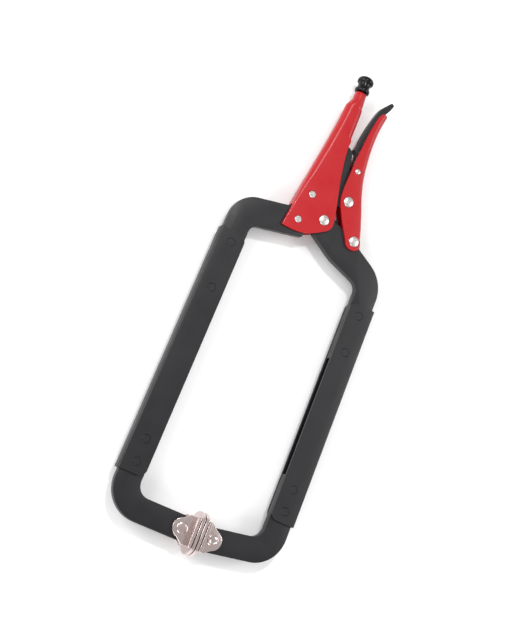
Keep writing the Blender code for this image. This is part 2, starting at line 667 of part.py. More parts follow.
def knob():
    """A turned knob pressed on the screw: flange, waist and overhanging rounded cap."""
    bore = SCREW_RADIUS + FIT
    floor = KNOB_START + KNOB_SOCKET + FIT
    profile = [(bore, KNOB_START), (KNOB_FLANGE - 1.3, KNOB_START),
               (KNOB_FLANGE, KNOB_START + 1.3), (KNOB_FLANGE, KNOB_START + 3.4),
               (KNOB_WAIST, KNOB_START + 5.5), (KNOB_WAIST, KNOB_CAP),
               (KNOB_HEAD - 0.7, KNOB_CAP + 0.9), (KNOB_HEAD, KNOB_CAP + 2.4),
               (KNOB_HEAD, KNOB_CAP + 4.4), (KNOB_HEAD - 0.9, KNOB_CAP + 6.4),
               (KNOB_HEAD - 2.2, KNOB_CAP + 7.8), (KNOB_HEAD - 4.0, KNOB_CAP + 8.8),
               (KNOB_HEAD - 6.0, KNOB_END - 0.5), (0, KNOB_END),
               (0, floor), (bore, floor), (bore, KNOB_START)]
    paint(turned_along('knob', profile, SCREW_X), OXIDE)


# ---------------------------------------------------------------- pads
def pad(prefix, centre, toward):
    """Backing plate with two ears, a round contact pad, and the rivet they swivel on."""
    face = PAD_FACE_X - toward * FIT / 2
    back = face - toward * (PAD_THICK + FIT)
    rear = back - toward * BACK_THICK

    def slab(name, x0, x1, outline):
        """An outline in Y and Z given its thickness along X."""
        bm = prism_mesh(outline, 0, 1)
        for vert in bm.verts:
            y, z, t = vert.co
            vert.co = (x0 + (x1 - x0) * t, centre[1] + y, z)
        return finish(name, bm, centre)

    half_y = BACK_HEIGHT / 2
    bracket = slab(f'{prefix}_pad_bracket', rear, back, rounded([
        (-half_y, -PAD_HALF_WIDTH, 3.0), (half_y, -PAD_HALF_WIDTH, 3.0),
        (half_y, PAD_HALF_WIDTH, 3.0), (-half_y, PAD_HALF_WIDTH, 3.0)]))
    root = (rear + back) / 2
    for low, high in ((EAR_INNER, EAR_OUTER), (-EAR_OUTER, -EAR_INNER)):
        round_end = arc((0, 0), EAR_RADIUS, 105, 255)
        ear = [((root - centre[0]) * toward, half_y), (5.0, half_y), *round_end, (5.0, -half_y),
               ((root - centre[0]) * toward, -half_y)]
        ear = [(centre[0] + toward * x, centre[1] + y) for x, y in ear]
        join(bracket, prism('ear', ear, low, high, centre))
    drill(bracket, centre, PAD_RIVET[0] + HOLE_FIT)
    paint(bracket, NICKEL)

    flat = math.degrees(math.asin(PAD_HALF_WIDTH / PAD_RADIUS))
    disc = [*arc((0, 0), PAD_RADIUS, -flat, flat), *arc((0, 0), PAD_RADIUS, 180 - flat, 180 + flat)]
    paint(slab(f'{prefix}_pad', back + toward * FIT, face, disc), NICKEL)
    paint(rivet(f'{prefix}_pad_rivet', centre, PAD_RIVET, EAR_OUTER, centre), NICKEL)


# ---------------------------------------------------------------- spring
def spring_path():
    """Hook, coil and hook along the line between the two eyes."""
    start = Vector((*SPRING_JAW, 0))
    end = Vector((*SPRING_TAB, 0))
    along = (end - start).normalized()
    side = Vector((-along.y, along.x, 0))
    up = Vector((0, 0, 1))
    span = (end - start).length
    loop = SPRING_LOOP
    points = []
    for degrees in range(-150, 91, 30):
        angle = math.radians(degrees)
        points.append(start + along * (loop - loop * math.cos(angle)) + up * loop * math.sin(angle))
    first = 2.2 * loop
    last = span - 2.2 * loop
    steps = SPRING_TURNS * 6
    for i in range(steps + 1):
        turn = math.tau * i / 6
        points.append(start + along * (first + (last - first) * i / steps)
                      + up * loop * math.cos(turn) + side * loop * math.sin(turn))
    for degrees in range(90, -151, -30):
        angle = math.radians(degrees)
        points.append(end - along * (loop - loop * math.cos(angle)) + up * loop * math.sin(angle))
    return points


def tension_spring():
    curve = bpy.data.curves.new('tension_spring', 'CURVE')
    curve.dimensions = '3D'
    curve.bevel_depth = SPRING_WIRE * MM
    curve.bevel_resolution = 1
    curve.use_fill_caps = True
    path = spring_path()
    line = curve.splines.new('POLY')
    line.points.add(len(path) - 1)
    for point, spot in zip(line.points, path):
        point.co = (*(spot * MM), 1)
    obj = bpy.data.objects.new('tension_spring', curve)
    bpy.context.collection.objects.link(obj)
    paint(obj, ZINC, smooth=False)


# ---------------------------------------------------------------- assembly
def stand_on_origin():
    """Hang every piece on one empty, so that the part's box stands centred on the origin."""
    bpy.context.view_layer.update()
    graph = bpy.context.evaluated_depsgraph_get()
    pieces = [o for o in bpy.context.scene.objects if o.type in {'MESH', 'CURVE'}]
    corners = []
    for piece in pieces:
        mesh = piece.evaluated_get(graph).to_mesh()
        corners += [piece.matrix_world @ v.co for v in mesh.vertices]
    low = Vector([min(c[i] for c in corners) for i in range(3)])
    high = Vector([max(c[i] for c in corners) for i in range(3)])
    frame = bpy.data.objects.new('tool_frame', None)
    bpy.context.collection.objects.link(frame)
    frame.location = (-(low.x + high.x) / 2, -(low.y + high.y) / 2, -low.z)
    for piece in pieces:
        piece.parent = frame


def main():
    for obj in list(bpy.data.objects):
        bpy.data.objects.remove(obj, do_unlink=True)
    fixed_jaw()
    arm_channel('fixed_arm', FIXED_ARM)
    arm_rivets('fixed_arm', FIXED_ARM)
    arm_tip('fixed_arm_tip', FIXED_ARM, FIXED_PAD_RIVET, 1, 0.0)
    upper_handle()
    paint(rivet('jaw_pivot_rivet', JAW_PIVOT, PIVOT_RIVET, HANDLE_HALF), ZINC)
    adjusting_screw()
    knob()
    moving_jaw()
    arm_channel('moving_arm', MOVING_ARM)
    arm_rivets('moving_arm', MOVING_ARM)
    arm_tip('moving_arm_tip', MOVING_ARM, MOVING_PAD_RIVET, -1, -MOVING_TIP_SLOPE)
    paint(rivet('lever_pivot_rivet', LEVER_PIVOT, PIVOT_RIVET, HANDLE_HALF), ZINC)
    lower_handle()
    paint(rivet('link_rivet', LINK_PIVOT, PIVOT_RIVET, HANDLE_HALF), ZINC)
    paint(rivet('release_lever_pin', RELEASE_PIVOT, PIN_RIVET, HANDLE_HALF), ZINC)
    toggle_link()
    release_lever()
    pad('fixed', FIXED_PAD_RIVET, 1)
    pad('moving', MOVING_PAD_RIVET, -1)
    tension_spring()
    stand_on_origin()


main()
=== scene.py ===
"""Long-reach locking pliers: the finished model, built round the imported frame.

Shapes are laid out in millimetres from the jaw pivot: X across the throat, Y towards
the handles, Z up through the tool's thickness. Each piece is put in place, in metres,
when it is finished.
"""

import json
import math

import bmesh
import bpy
from mathutils import Matrix, Vector


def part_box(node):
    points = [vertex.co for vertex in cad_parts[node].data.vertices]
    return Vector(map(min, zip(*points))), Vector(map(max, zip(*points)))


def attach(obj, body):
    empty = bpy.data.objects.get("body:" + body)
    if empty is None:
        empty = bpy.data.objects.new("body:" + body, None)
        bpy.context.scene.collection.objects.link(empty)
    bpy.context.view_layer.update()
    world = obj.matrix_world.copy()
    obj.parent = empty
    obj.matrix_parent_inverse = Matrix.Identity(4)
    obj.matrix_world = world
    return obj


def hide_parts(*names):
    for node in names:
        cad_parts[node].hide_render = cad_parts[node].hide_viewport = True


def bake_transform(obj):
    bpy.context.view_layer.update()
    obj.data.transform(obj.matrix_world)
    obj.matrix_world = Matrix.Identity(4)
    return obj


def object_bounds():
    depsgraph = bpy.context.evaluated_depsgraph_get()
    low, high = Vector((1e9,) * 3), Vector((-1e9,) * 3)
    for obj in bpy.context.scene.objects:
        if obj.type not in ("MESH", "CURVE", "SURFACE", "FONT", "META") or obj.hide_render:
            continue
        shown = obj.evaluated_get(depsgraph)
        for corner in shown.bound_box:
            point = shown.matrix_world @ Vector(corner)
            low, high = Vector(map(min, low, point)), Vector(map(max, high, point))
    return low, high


bl_info = {
    "name": "Long-reach locking pliers",
    "version": (1, 0, 0),
    "blender": (4, 5, 0),
    "location": "View3D > Sidebar > Pliers",
    "description": "Models channel-armed locking pliers piece by piece on their mechanical frame",
    "category": "Object",
}

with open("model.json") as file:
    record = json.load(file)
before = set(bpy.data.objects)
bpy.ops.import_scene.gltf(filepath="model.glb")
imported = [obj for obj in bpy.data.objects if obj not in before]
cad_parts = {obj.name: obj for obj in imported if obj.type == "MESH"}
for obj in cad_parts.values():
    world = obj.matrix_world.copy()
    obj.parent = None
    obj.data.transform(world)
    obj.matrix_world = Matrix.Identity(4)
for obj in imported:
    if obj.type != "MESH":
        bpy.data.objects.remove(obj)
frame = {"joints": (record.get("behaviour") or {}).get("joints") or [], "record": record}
CAD_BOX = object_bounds()

MM = 0.001                       # one millimetre in Blender's metres
BODIES = frame["record"]["behaviour"]["bodies"]
PIVOTS = {j["name"]: Vector(j["pos_m"]) / MM for j in frame["joints"] if "pos_m" in j}
ORIGIN = PIVOTS["jaw_hinge"].copy()
ORIGIN.z = (CAD_BOX[0][2] + CAD_BOX[1][2]) / 2 / MM


def from_jaw(joint):
    """A hinge's place in the plane, in millimetres from the jaw pivot."""
    spot = PIVOTS[joint] - ORIGIN
    return (spot.x, spot.y)


JAW_PIVOT = (0.0, 0.0)
LEVER_PIVOT = from_jaw("lower_handle_hinge")
LINK_PIVOT = from_jaw("toggle_hinge")
RELEASE_PIVOT = from_jaw("release_hinge")
SCREW_X = from_jaw("knob_turn")[0]
KNOB_START = from_jaw("knob_turn")[1]
FIXED_PAD_RIVET = from_jaw("fixed_pad_swivel")
MOVING_PAD_RIVET = from_jaw("moving_pad_swivel")
LINK_TIP = (SCREW_X, 98.0)

# --- fits, rivet rows and pads ---
FIT = 0.3                        # air between pieces that touch or slide
HOLE_FIT = 0.25                  # radial air round a rivet's shank
END_RIVET = 13.5                 # outermost rivets, from each end of a channel
TIP_INNER = 40.5                 # a tip bar's upper rivet, from the channel's lower end
EAR_SHEET = 3.0                  # sheet of the ears that hold a pad's rivet
GROOVE = 0.35                    # rolled back from each plate's face, so the joints read dark
PAD_SWIVEL = 18.0                # degrees each way
PAD_THICK = 4.5
PAD_BACK = 4.2                   # thickness of a pad's backing plate
PLATE_HALF = 18.0                # half of the backing plate's width along the arm
EAR_NOSE = 11.6                  # round end of an ear
EAR_ROOT = 17.2                  # half of an ear's width at the plate
PAD_HALF = 19.0                  # half of a pad's width through the tool's thickness
PAD_REACH = (MOVING_PAD_RIVET[0] - FIXED_PAD_RIVET[0]) / 2
PAD_FACE_X = (MOVING_PAD_RIVET[0] + FIXED_PAD_RIVET[0]) / 2

# --- handle lines, from the jaw pivot ---
UPPER_SPINE = [(-47.6, -28.3), (-44.3, -1.5), (-41.1, 26.7), (-36.1, 63.3),
               (-32.3, 89.7), (-29.8, 109.6), (-27.5, 130.0), (-26.3, 147.0)]
UPPER_EDGE = [(-6.0, 109.0), (-4.7, 104.5), (-5.3, 97.0), (-3.2, 76.8), (2.2, 49.1),
              (8.8, 23.1), (12.4, 7.0)]
UPPER_FOLD = [(-30.0, 0.8), (0.0, 2.0), (29.0, 4.0), (49.0, 6.2), (68.0, 7.0), (90.0, 7.4)]
UPPER_NOSE = 13.4                # radius round the jaw pivot
UPPER_WEB_TOP = 141.0            # the cavity ends here, below the neck
ROLL_START = 109.0               # above this the open side is rolled shut
ROLL_X = -3.9
ROLL_FOLD = 7.2
NECK_START = 147.0               # the roll draws in to a tube round the screw
NECK_SLICES = (148.5, 149.2, 149.9, 150.6, 151.5, 153.0, 155.0, 157.0, 159.0, 160.5, 162.0,
               165.0, 168.0)     # closer together where the neck's sides turn
TUBE_START = 162.0
TUBE_END = 170.5
TUBE_OUTER = 8.4
TUBE_TAPER = 0.9                 # lost from the radius up to the tube's end
SHOULDER = (148.5, 151.5)        # heights of the step on the open side
TUBE_BORE = 4.9
LOWER_SPINE = [(51.2, 7.2), (45.1, 26.3), (35.0, 54.7), (30.0, 76.1), (27.5, 95.4),
               (26.1, 114.9), (26.6, 134.9), (28.3, 148.5), (29.6, 156.0)]
LOWER_EDGE = [(17.6, 152.5), (14.1, 131.5), (12.2, 111.5), (10.4, 91.6), (9.6, 70.0),
              (9.3, 46.2), (10.4, 34.0), (13.6, 25.6), (25.0, 5.9), (36.4, -11.2)]
LOWER_FOLD = [(-20.0, 2.6), (8.0, 3.0), (26.0, 4.5), (55.0, 6.0), (76.0, 7.2)]
LOWER_NOSE = 11.0                # radius round the lever pivot
LOWER_WEB_START = 7.4
CAVITY_FOLD = 1.6                # radius inside a handle's folds
SQUARE = 0.5                     # corner radius on the side that the profile trims off
PROFILE_HALF = 20.0              # half height of the blocks that trim a handle

# --- rivets: shank radius, head radius, head height ---
PIVOT_RIVET = (4.0, 6.4, 2.2)
FLUSH_RIVET = (4.2, 4.2, 0.3)
PIN_RIVET = (2.4, 3.4, 1.3)
ARM_RIVET = (4.8, 4.8, 0.3)
PAD_RIVET = (4.0, 6.8, 2.0)
# a dished head, in shares of the head's radius and height
DISHED = ((1.0, 0.0), (1.0, 0.55), (0.95, 0.85), (0.86, 1.0), (0.74, 0.95), (0.6, 0.5),
          (0.45, 0.32), (0.3, 0.3), (0.26, 0.1), (0.0, 0.05))

# --- bars, toggle and knob ---
FIXED_JAW_HUB = 13.8             # radii of the jaw plates round their pivots
MOVING_JAW_HUB = 12.4
LEVER_HUB = 10.3
OUTER_BEND = {'fixed_jaw': 34.0, 'moving_jaw': 42.0, 'tip': 40.0}
INNER_BEND = {'fixed_jaw': 12.0, 'moving_jaw': 12.0, 'tip': 15.0}
ARM_CORNER = 9.0                 # at the two ends of an arm's open edge
ARM_HOLLOW_FOLD = 0.6
BACK_CLEAR = 3.9                 # from the handle's back to the jaw plate inside it
LINK_THICK = 8.5
LEVER_WIDE = 8.6
LEVER_SHEET = 1.8
KNOB_BORE = 4.8
KNOB_SOCKET = 10.3               # depth of the knob's bore

# --- spring: its eyes on the moving jaw and in the upper handle ---
SPRING_JAW = (17.0, 8.0)
SPRING_TAB = (-24.0, 46.0)
EYE_LUG = 3.2
EYE_THICK = 2.6
EYE_HOLE = 1.3
SPRING_LOOP = 2.4                # radius of the coil and of its hooks
SPRING_TURNS = 30
SPRING_WIRE = 0.5                # the wire's radius


def linear(code):
    """An sRGB hex colour as linear RGB."""
    values = [int(code[i:i + 2], 16) / 255 for i in (0, 2, 4)]
    return tuple(v / 12.92 if v <= 0.04045 else ((v + 0.055) / 1.055) ** 2.4 for v in values)


# ---------------------------------------------------------------- sizes and colours
def length(name, description, default_mm):
    return bpy.props.FloatProperty(name=name, description=description, default=default_mm * MM,
                                   min=0.0, subtype='DISTANCE', unit='LENGTH')


def colour(name, description, code):
    return bpy.props.FloatVectorProperty(name=name, description=description, size=3, min=0.0,
                                         max=1.0, subtype='COLOR', default=linear(code))


class PliersSizes(bpy.types.PropertyGroup):
    """Stock sizes that the pieces share"""
    bar_thick: length("Bar thickness", "Thickness of the jaw and tip bars", 9.5)
    bar_width: length("Bar width", "Width of the jaw and tip bars", 30.2)
    sheet: length("Sheet", "Sheet of the channel arms and handles", 2.5)
    arm_fold: length("Arm fold", "Outer radius of an arm's folds", 2.6)
    eased: length("Eased edge", "Rounding on the rims of bars", 0.7)
    pad_radius: length("Pad radius", "Radius of the round contact pads", 26.0)
    pad_thick: length("Pad thickness", "Thickness of the contact pads", PAD_THICK)
    thread_pitch: length("Thread pitch", "Pitch of the adjusting screw", 1.5875)


class PliersFinishes(bpy.types.PropertyGroup):
    """Colours of the finishes"""
    red_enamel: colour("Red enamel", "Baked enamel on the handles", "AC0813")
    black_paint: colour("Black paint", "Stoved paint on the bars and arms", "0E0C11")
    zinc: colour("Zinc", "Plating on the handle rivets", "DAD9D6")
    nickel: colour("Nickel", "Plating on the swivel pads", "D6C6C3")
    black_oxide: colour("Black oxide", "Finish of the knob and screw", "1B1B1D")
    floor: colour("Floor", "Paper that the tool lies on", "FAFAFA")


# ---------------------------------------------------------------- materials
def add(tree, kind, settings=(), links=()):
    """Add a node, with its settings and the sockets that feed it."""
    node = tree.nodes.new(kind)
    for key, value in dict(settings).items():
        if key in node.inputs:
            node.inputs[key].default_value = value
        else:
            setattr(node, key, value)
    for key, socket in dict(links).items():
        tree.links.new(socket, node.inputs[key])
    return node


def start_material(name, base, roughness, metallic=0.0, **more):
    material = bpy.data.materials.new(name)
    material.use_nodes = True
    tree = material.node_tree
    shader = tree.nodes['Principled BSDF']
    shader.inputs['Base Color'].default_value = (*base, 1.0)
    shader.inputs['Roughness'].default_value = roughness
    shader.inputs['Metallic'].default_value = metallic
    for key, value in more.items():
        shader.inputs[key.replace('_', ' ').title()].default_value = value
    coords = add(tree, 'ShaderNodeTexCoord')
    return material, tree, shader, coords.outputs['Object']


def per_metre(millimetres):
    """Noise scale whose features are about this size."""
    return 1.0 / (millimetres * MM)


def varied(tree, shader, field, low, high):
    """Roughness that wanders between two values with a field from 0 to 1."""
    spread = add(tree, 'ShaderNodeMapRange', {'From Min': 0.3, 'From Max': 0.7,
                                              'To Min': low, 'To Max': high}, {'Value': field})
    tree.links.new(spread.outputs['Result'], shader.inputs['Roughness'])


def bumped(tree, shader, field, depth_mm, strength=1.0):
    bump = add(tree, 'ShaderNodeBump', {'Strength': strength, 'Distance': depth_mm * MM},
               {'Height': field})
    tree.links.new(bump.outputs['Normal'], shader.inputs['Normal'])


def red_enamel(finishes):
    """Baked gloss enamel over pressed steel: an even, wet-looking red whose surface has the
    slight orange peel of sprayed paint, so that highlights waver a little."""
    material, tree, shader, spot = start_material(
        'red_baked_enamel', finishes.red_enamel, 0.3, coat_weight=0.1, coat_roughness=0.1)
    peel = add(tree, 'ShaderNodeTexNoise', {'Scale': per_metre(5.0), 'Detail': 1.0}, {'Vector': spot})
    cloud = add(tree, 'ShaderNodeTexNoise', {'Scale': per_metre(22.0), 'Detail': 3.0}, {'Vector': spot})
    varied(tree, shader, cloud.outputs['Fac'], 0.26, 0.36)
    bumped(tree, shader, peel.outputs['Fac'], 0.015, 0.2)
    return material


def black_paint(finishes):
    """Stoved black paint on bar and sheet: a soft satin sheen, with fine grain and faint
    cloudy patches where the coat is thinner."""
    material, tree, shader, spot = start_material('black_stoved_paint', finishes.black_paint, 0.42)
    grain = add(tree, 'ShaderNodeTexNoise', {'Scale': per_metre(1.3), 'Detail': 3.0}, {'Vector': spot})
    cloud = add(tree, 'ShaderNodeTexNoise', {'Scale': per_metre(30.0), 'Detail': 4.0}, {'Vector': spot})
    varied(tree, shader, cloud.outputs['Fac'], 0.36, 0.48)
    bumped(tree, shader, grain.outputs['Fac'], 0.04, 0.4)
    return material


def zinc_plate(finishes):
    """Bright zinc on headed steel rivets: pale silver, with a faint satin mottle."""
    material, tree, shader, spot = start_material('bright_zinc_plate', finishes.zinc, 0.28, 1.0)
    mottle = add(tree, 'ShaderNodeTexNoise', {'Scale': per_metre(2.0), 'Detail': 3.0}, {'Vector': spot})
    varied(tree, shader, mottle.outputs['Fac'], 0.24, 0.4)
    bumped(tree, shader, mottle.outputs['Fac'], 0.02, 0.3)
    return material


def nickel_plate(finishes):
    """Nickel over pressed steel: a warm, bright metal with soft die marks."""
    material, tree, shader, spot = start_material('nickel_plate', finishes.nickel, 0.25, 1.0)
    mottle = add(tree, 'ShaderNodeTexNoise', {'Scale': per_metre(3.5), 'Detail': 4.0}, {'Vector': spot})
    varied(tree, shader, mottle.outputs['Fac'], 0.18, 0.26)
    bumped(tree, shader, mottle.outputs['Fac'], 0.012, 0.3)
    return material


def black_oxide(finishes):
    """Hot-blacked turned steel: near black and glossy. The rings of turning are too fine to
    show, so they are drawn about 5 mm apart."""
    material, tree, shader, spot = start_material(
        'black_oxide_steel', finishes.black_oxide, 0.22, 0.6)
    rings = add(tree, 'ShaderNodeTexWave', {'wave_type': 'BANDS', 'bands_direction': 'Y',
                                            'Scale': math.tau / 20 * per_metre(5.0265),
                                            'Distortion': 0.4}, {'Vector': spot})
    bumped(tree, shader, rings.outputs['Fac'], 0.02, 0.4)
    return material


def spring_steel(finishes):
    """Drawn spring wire, plated: a bright hard metal."""
    material, tree, shader, spot = start_material('plated_spring_wire', finishes.zinc, 0.3, 1.0)
    draw = add(tree, 'ShaderNodeTexNoise', {'Scale': per_metre(0.6), 'Detail': 2.0}, {'Vector': spot})
    bumped(tree, shader, draw.outputs['Fac'], 0.02, 0.4)
    return material


FINISHES = {'red_paint': red_enamel, 'black_paint': black_paint, 'zinc_plate': zinc_plate,
            'nickel_plate': nickel_plate, 'black_oxide': black_oxide, 'screw_steel': black_oxide,
            'spring_steel': spring_steel}
MADE = {}


def finish_for(slot, context):
    """The material of a finish, made once."""
    maker = FINISHES[slot]
    if maker not in MADE:
        MADE[maker] = maker(context.scene.pliers_finishes)
    return MADE[maker]


# ---------------------------------------------------------------- outlines
def arc(centre, radius, start, end, step=5.0):
    """Points on an arc, in degrees, from start to end."""
    count = max(2, math.ceil(abs(end - start) / step) + 1)
    angles = [math.radians(start + (end - start) * i / (count - 1)) for i in range(count)]
    return [(centre[0] + radius * math.cos(a), centre[1] + radius * math.sin(a)) for a in angles]


def rounded(corners, step=6.0):
    """An outline from (x, y) points and (x, y, radius) corners."""
    points = []
    for i, corner in enumerate(corners):
        here = Vector(corner[:2])
        if len(corner) == 2:
            points.append(tuple(here))
            continue
        back = (Vector(corners[i - 1][:2]) - here).normalized()
        ahead = (Vector(corners[(i + 1) % len(corners)][:2]) - here).normalized()
        half = back.angle(ahead) / 2
        centre = here + (back + ahead).normalized() * corner[2] / math.sin(half)
        first = here + back * corner[2] / math.tan(half) - centre
        last = here + ahead * corner[2] / math.tan(half) - centre
        turn = first.angle_signed(last)
        count = max(2, math.ceil(abs(math.degrees(turn)) / step) + 1)
        for k in range(count):
            points.append(tuple(centre + Matrix.Rotation(-turn * k / (count - 1), 2) @ first))
    return points


def flowing(points, steps=8):
    """A smooth line through a few points (Catmull-Rom)."""
    line = [Vector(p) for p in points]
    line = [2 * line[0] - line[1]] + line + [2 * line[-1] - line[-2]]
    result = []
    for i in range(1, len(line) - 2):
        a, b, c, d = line[i - 1:i + 3]
        for k in range(steps):
            t = k / steps
            result.append(tuple(0.5 * (2 * b + (c - a) * t + (2 * a - 5 * b + 4 * c - d) * t ** 2
                                       + (3 * b - a - 3 * c + d) * t ** 3)))
    result.append(tuple(line[-2]))
    return result


def beside(points, distance):
    """The same line moved sideways, to the right of its direction."""
    result = []
    for i, point in enumerate(points):
        before = Vector(points[max(i - 1, 0)])
        after = Vector(points[min(i + 1, len(points) - 1)])
        along = (after - before).normalized()
        result.append((point[0] + along.y * distance, point[1] - along.x * distance))
    return result


def at_height(points, y):
    """Where a line that climbs in Y crosses a height."""
    for (x0, y0), (x1, y1) in zip(points, points[1:]):
        if min(y0, y1) <= y <= max(y0, y1):
            return x0 + (x1 - x0) * (y - y0) / (y1 - y0)
    return points[-1][0]


def smooth(y, start, end):
    """0 before start, 1 after end, starting and ending gently."""
    share = min(max((y - start) / (end - start), 0.0), 1.0)
    return share * share * (3 - 2 * share)


def between(table, y):
    """A value read off a short table of (height, value), eased between its rows."""
    for (y0, a), (y1, b) in zip(table, table[1:]):
        if y <= y1:
            return a + (b - a) * smooth(y, y0, y1)
    return table[-1][1]


def slice_at(y, left, right, half, fold_left, fold_right, steps=8):
    """A flat slice of a handle: a box whose two sides are folded round their own radii."""
    limit = min(half, (right - left) / 2) - 0.02
    points = []
    for side, x, radius in ((1, right, fold_right), (-1, left, fold_left)):
        radius = min(radius, limit)
        for k in range(2 * steps + 2):
            turn = k if k <= steps else k - 1
            angle = math.radians(90 * turn / steps - 90 * side)
            level = half - radius if (k > steps) == (side > 0) else radius - half
            points.append((x - side * radius + radius * math.cos(angle), y,
                           level + radius * math.sin(angle)))
    return points


def loft(slices):
    """A solid drawn on from slice to slice."""
    bm = bmesh.new()
    end = bm.faces.new([bm.verts.new(p) for p in slices[0]])
    for i, outline in enumerate(slices[1:]):
        drawn = bmesh.ops.extrude_face_region(bm, geom=[end])
        fresh = next(g for g in drawn['geom'] if isinstance(g, bmesh.types.BMFace))
        for vert, spot in zip(fresh.verts, outline):
            vert.co = spot
        if i:
            bmesh.ops.delete(bm, geom=[end], context='FACES_ONLY')
        end = fresh
    bmesh.ops.recalc_face_normals(bm, faces=bm.faces)
    return bm


# ---------------------------------------------------------------- shapes
def block(outline, low, high):
    """An outline drawn up from one height to another."""
    bm = bmesh.new()
    face = bm.faces.new([bm.verts.new((x, y, low)) for x, y in outline])
    drawn = bmesh.ops.extrude_face_region(bm, geom=[face])
    top = [v for v in drawn['geom'] if isinstance(v, bmesh.types.BMVert)]
    bmesh.ops.translate(bm, verts=top, vec=(0, 0, high - low))
    bmesh.ops.recalc_face_normals(bm, faces=bm.faces)
    return bm


def bevel(bm, edges, width, segments):
    bmesh.ops.bevel(bm, geom=edges, offset=width, offset_type='OFFSET', segments=segments,
                    profile=0.5, affect='EDGES', clamp_overlap=True, material=-1)


def rims(bm, keep=lambda middle: True):
    """Edges that lie flat round the top and bottom faces."""
    return [e for e in bm.edges if abs(e.verts[0].co.z - e.verts[1].co.z) < 1e-6
            and keep((e.verts[0].co + e.verts[1].co) / 2)]


def lathe(profile, sides=48):
    """A (radius, height) profile spun round Z."""
    bm = bmesh.new()
    verts = [bm.verts.new((r, 0, z)) for r, z in profile]
    for a, b in zip(verts, verts[1:]):
        bm.edges.new((a, b))
    bmesh.ops.spin(bm, geom=bm.verts[:] + bm.edges[:], cent=(0, 0, 0), axis=(0, 0, 1),
                   angle=math.tau, steps=sides, use_merge=True)
    bmesh.ops.remove_doubles(bm, verts=bm.verts, dist=1e-4)
    bmesh.ops.recalc_face_normals(bm, faces=bm.faces)
    return bm


def moved(bm, x, y, z=0.0):
    bmesh.ops.translate(bm, verts=bm.verts, vec=(x, y, z))
    return bm


def along_screw(bm, x=SCREW_X):
    """Lay a lathe shape down, its heights along Y on the screw's axis."""
    bmesh.ops.rotate(bm, verts=bm.verts, cent=(0, 0, 0),
                     matrix=Matrix.Rotation(-math.pi / 2, 3, 'X'))
    return moved(bm, x, 0)


def as_object(bm, name):
    mesh = bpy.data.meshes.new(name)
    bm.to_mesh(mesh)
    bm.free()
    obj = bpy.data.objects.new(name, mesh)
    bpy.context.scene.collection.objects.link(obj)
    return obj


def combine(bm, tools, operation='DIFFERENCE'):
    """A bmesh cut by, or joined to, others with exact Booleans."""
    for tool in tools:
        target = as_object(bm, 'target')
        cutter = as_object(tool, 'cutter')
        modifier = target.modifiers.new(operation, 'BOOLEAN')
        modifier.operation = operation
        modifier.solver = 'EXACT'
        modifier.object = cutter
        graph = bpy.context.evaluated_depsgraph_get()
        bm = bmesh.new()
        bm.from_mesh(target.evaluated_get(graph).to_mesh())
        for used in (target, cutter):
            mesh = used.data
            bpy.data.objects.remove(used, do_unlink=True)
            bpy.data.meshes.remove(mesh)
    return bm


def drill(centre, radius, half=40.0, sides=32):
    return moved(lathe([(0, -half), (radius, -half), (radius, half), (0, half)], sides), *centre)


def body_of(node):
    return next(body for body, nodes in BODIES.items() if node in nodes)


def slot_of(node):
    return next(p["material_slot"] for p in frame["record"]["subparts"] if p["node"] == node)


def place(context, bm, node, eased=0.0, sharp=35.0, rides=True):
    """Stand a finished shape in for a node: in metres, on its body, in its finish."""
    bmesh.ops.translate(bm, verts=bm.verts, vec=ORIGIN)
    bmesh.ops.scale(bm, verts=bm.verts, vec=(MM, MM, MM))
    bmesh.ops.remove_doubles(bm, verts=bm.verts, dist=1e-7)
    bmesh.ops.recalc_face_normals(bm, faces=bm.faces)
    obj = as_object(bm, f'{node}_finished')
    slot = slot_of(node)
    obj.data.materials.append(finish_for(slot, context))
    obj.data.shade_smooth()
    obj.data.set_sharp_from_angle(angle=math.radians(sharp))
    if eased:
        edge = obj.modifiers.new('eased', 'BEVEL')
        edge.width = eased * MM
        edge.segments = 2
        edge.limit_method = 'ANGLE'
        edge.angle_limit = math.radians(50)
    if rides:
        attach(obj, body_of(node))
    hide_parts(node)
    return obj


# ---------------------------------------------------------------- bars and arms
class Arm:
    """A channel arm's own directions: down its length, and outwards across it. Its lean is in
    degrees, and inner is how far down the second rivet stands."""

    def __init__(self, top, reach, lean, side, inner):
        self.top = Vector(top)
        self.length = reach
        self.rivets = (END_RIVET, inner, reach - TIP_INNER, reach - END_RIVET)
        angle = math.radians(lean)
        self.down = Vector((side * math.sin(angle), -math.cos(angle)))
        self.out = Vector((side * math.cos(angle), math.sin(angle)))

    def at(self, along, across):
        return tuple(self.top + self.down * along + self.out * across)


FIXED_ARM = Arm(top=(-96.3, -64.0), reach=302.0, lean=0.8, side=-1, inner=72.0)
MOVING_ARM = Arm(top=(87.2, -73.3), reach=277.5, lean=0.2, side=1, inner=61.5)
FIXED_RIVETS = ((-25.6, 22.2), (-30.9, -13.9))
FIXED_SLOPE = math.radians(14.3)
FIXED_BAR_TOP = 9.3
FIXED_BAR_WIDE = 34.4


def fixed_bar_y(x, below=0.0):
    """Height of the cross bar's upper edge, or of a line that far below it."""
    return FIXED_BAR_TOP + x * math.tan(FIXED_SLOPE) - below / math.cos(FIXED_SLOPE)


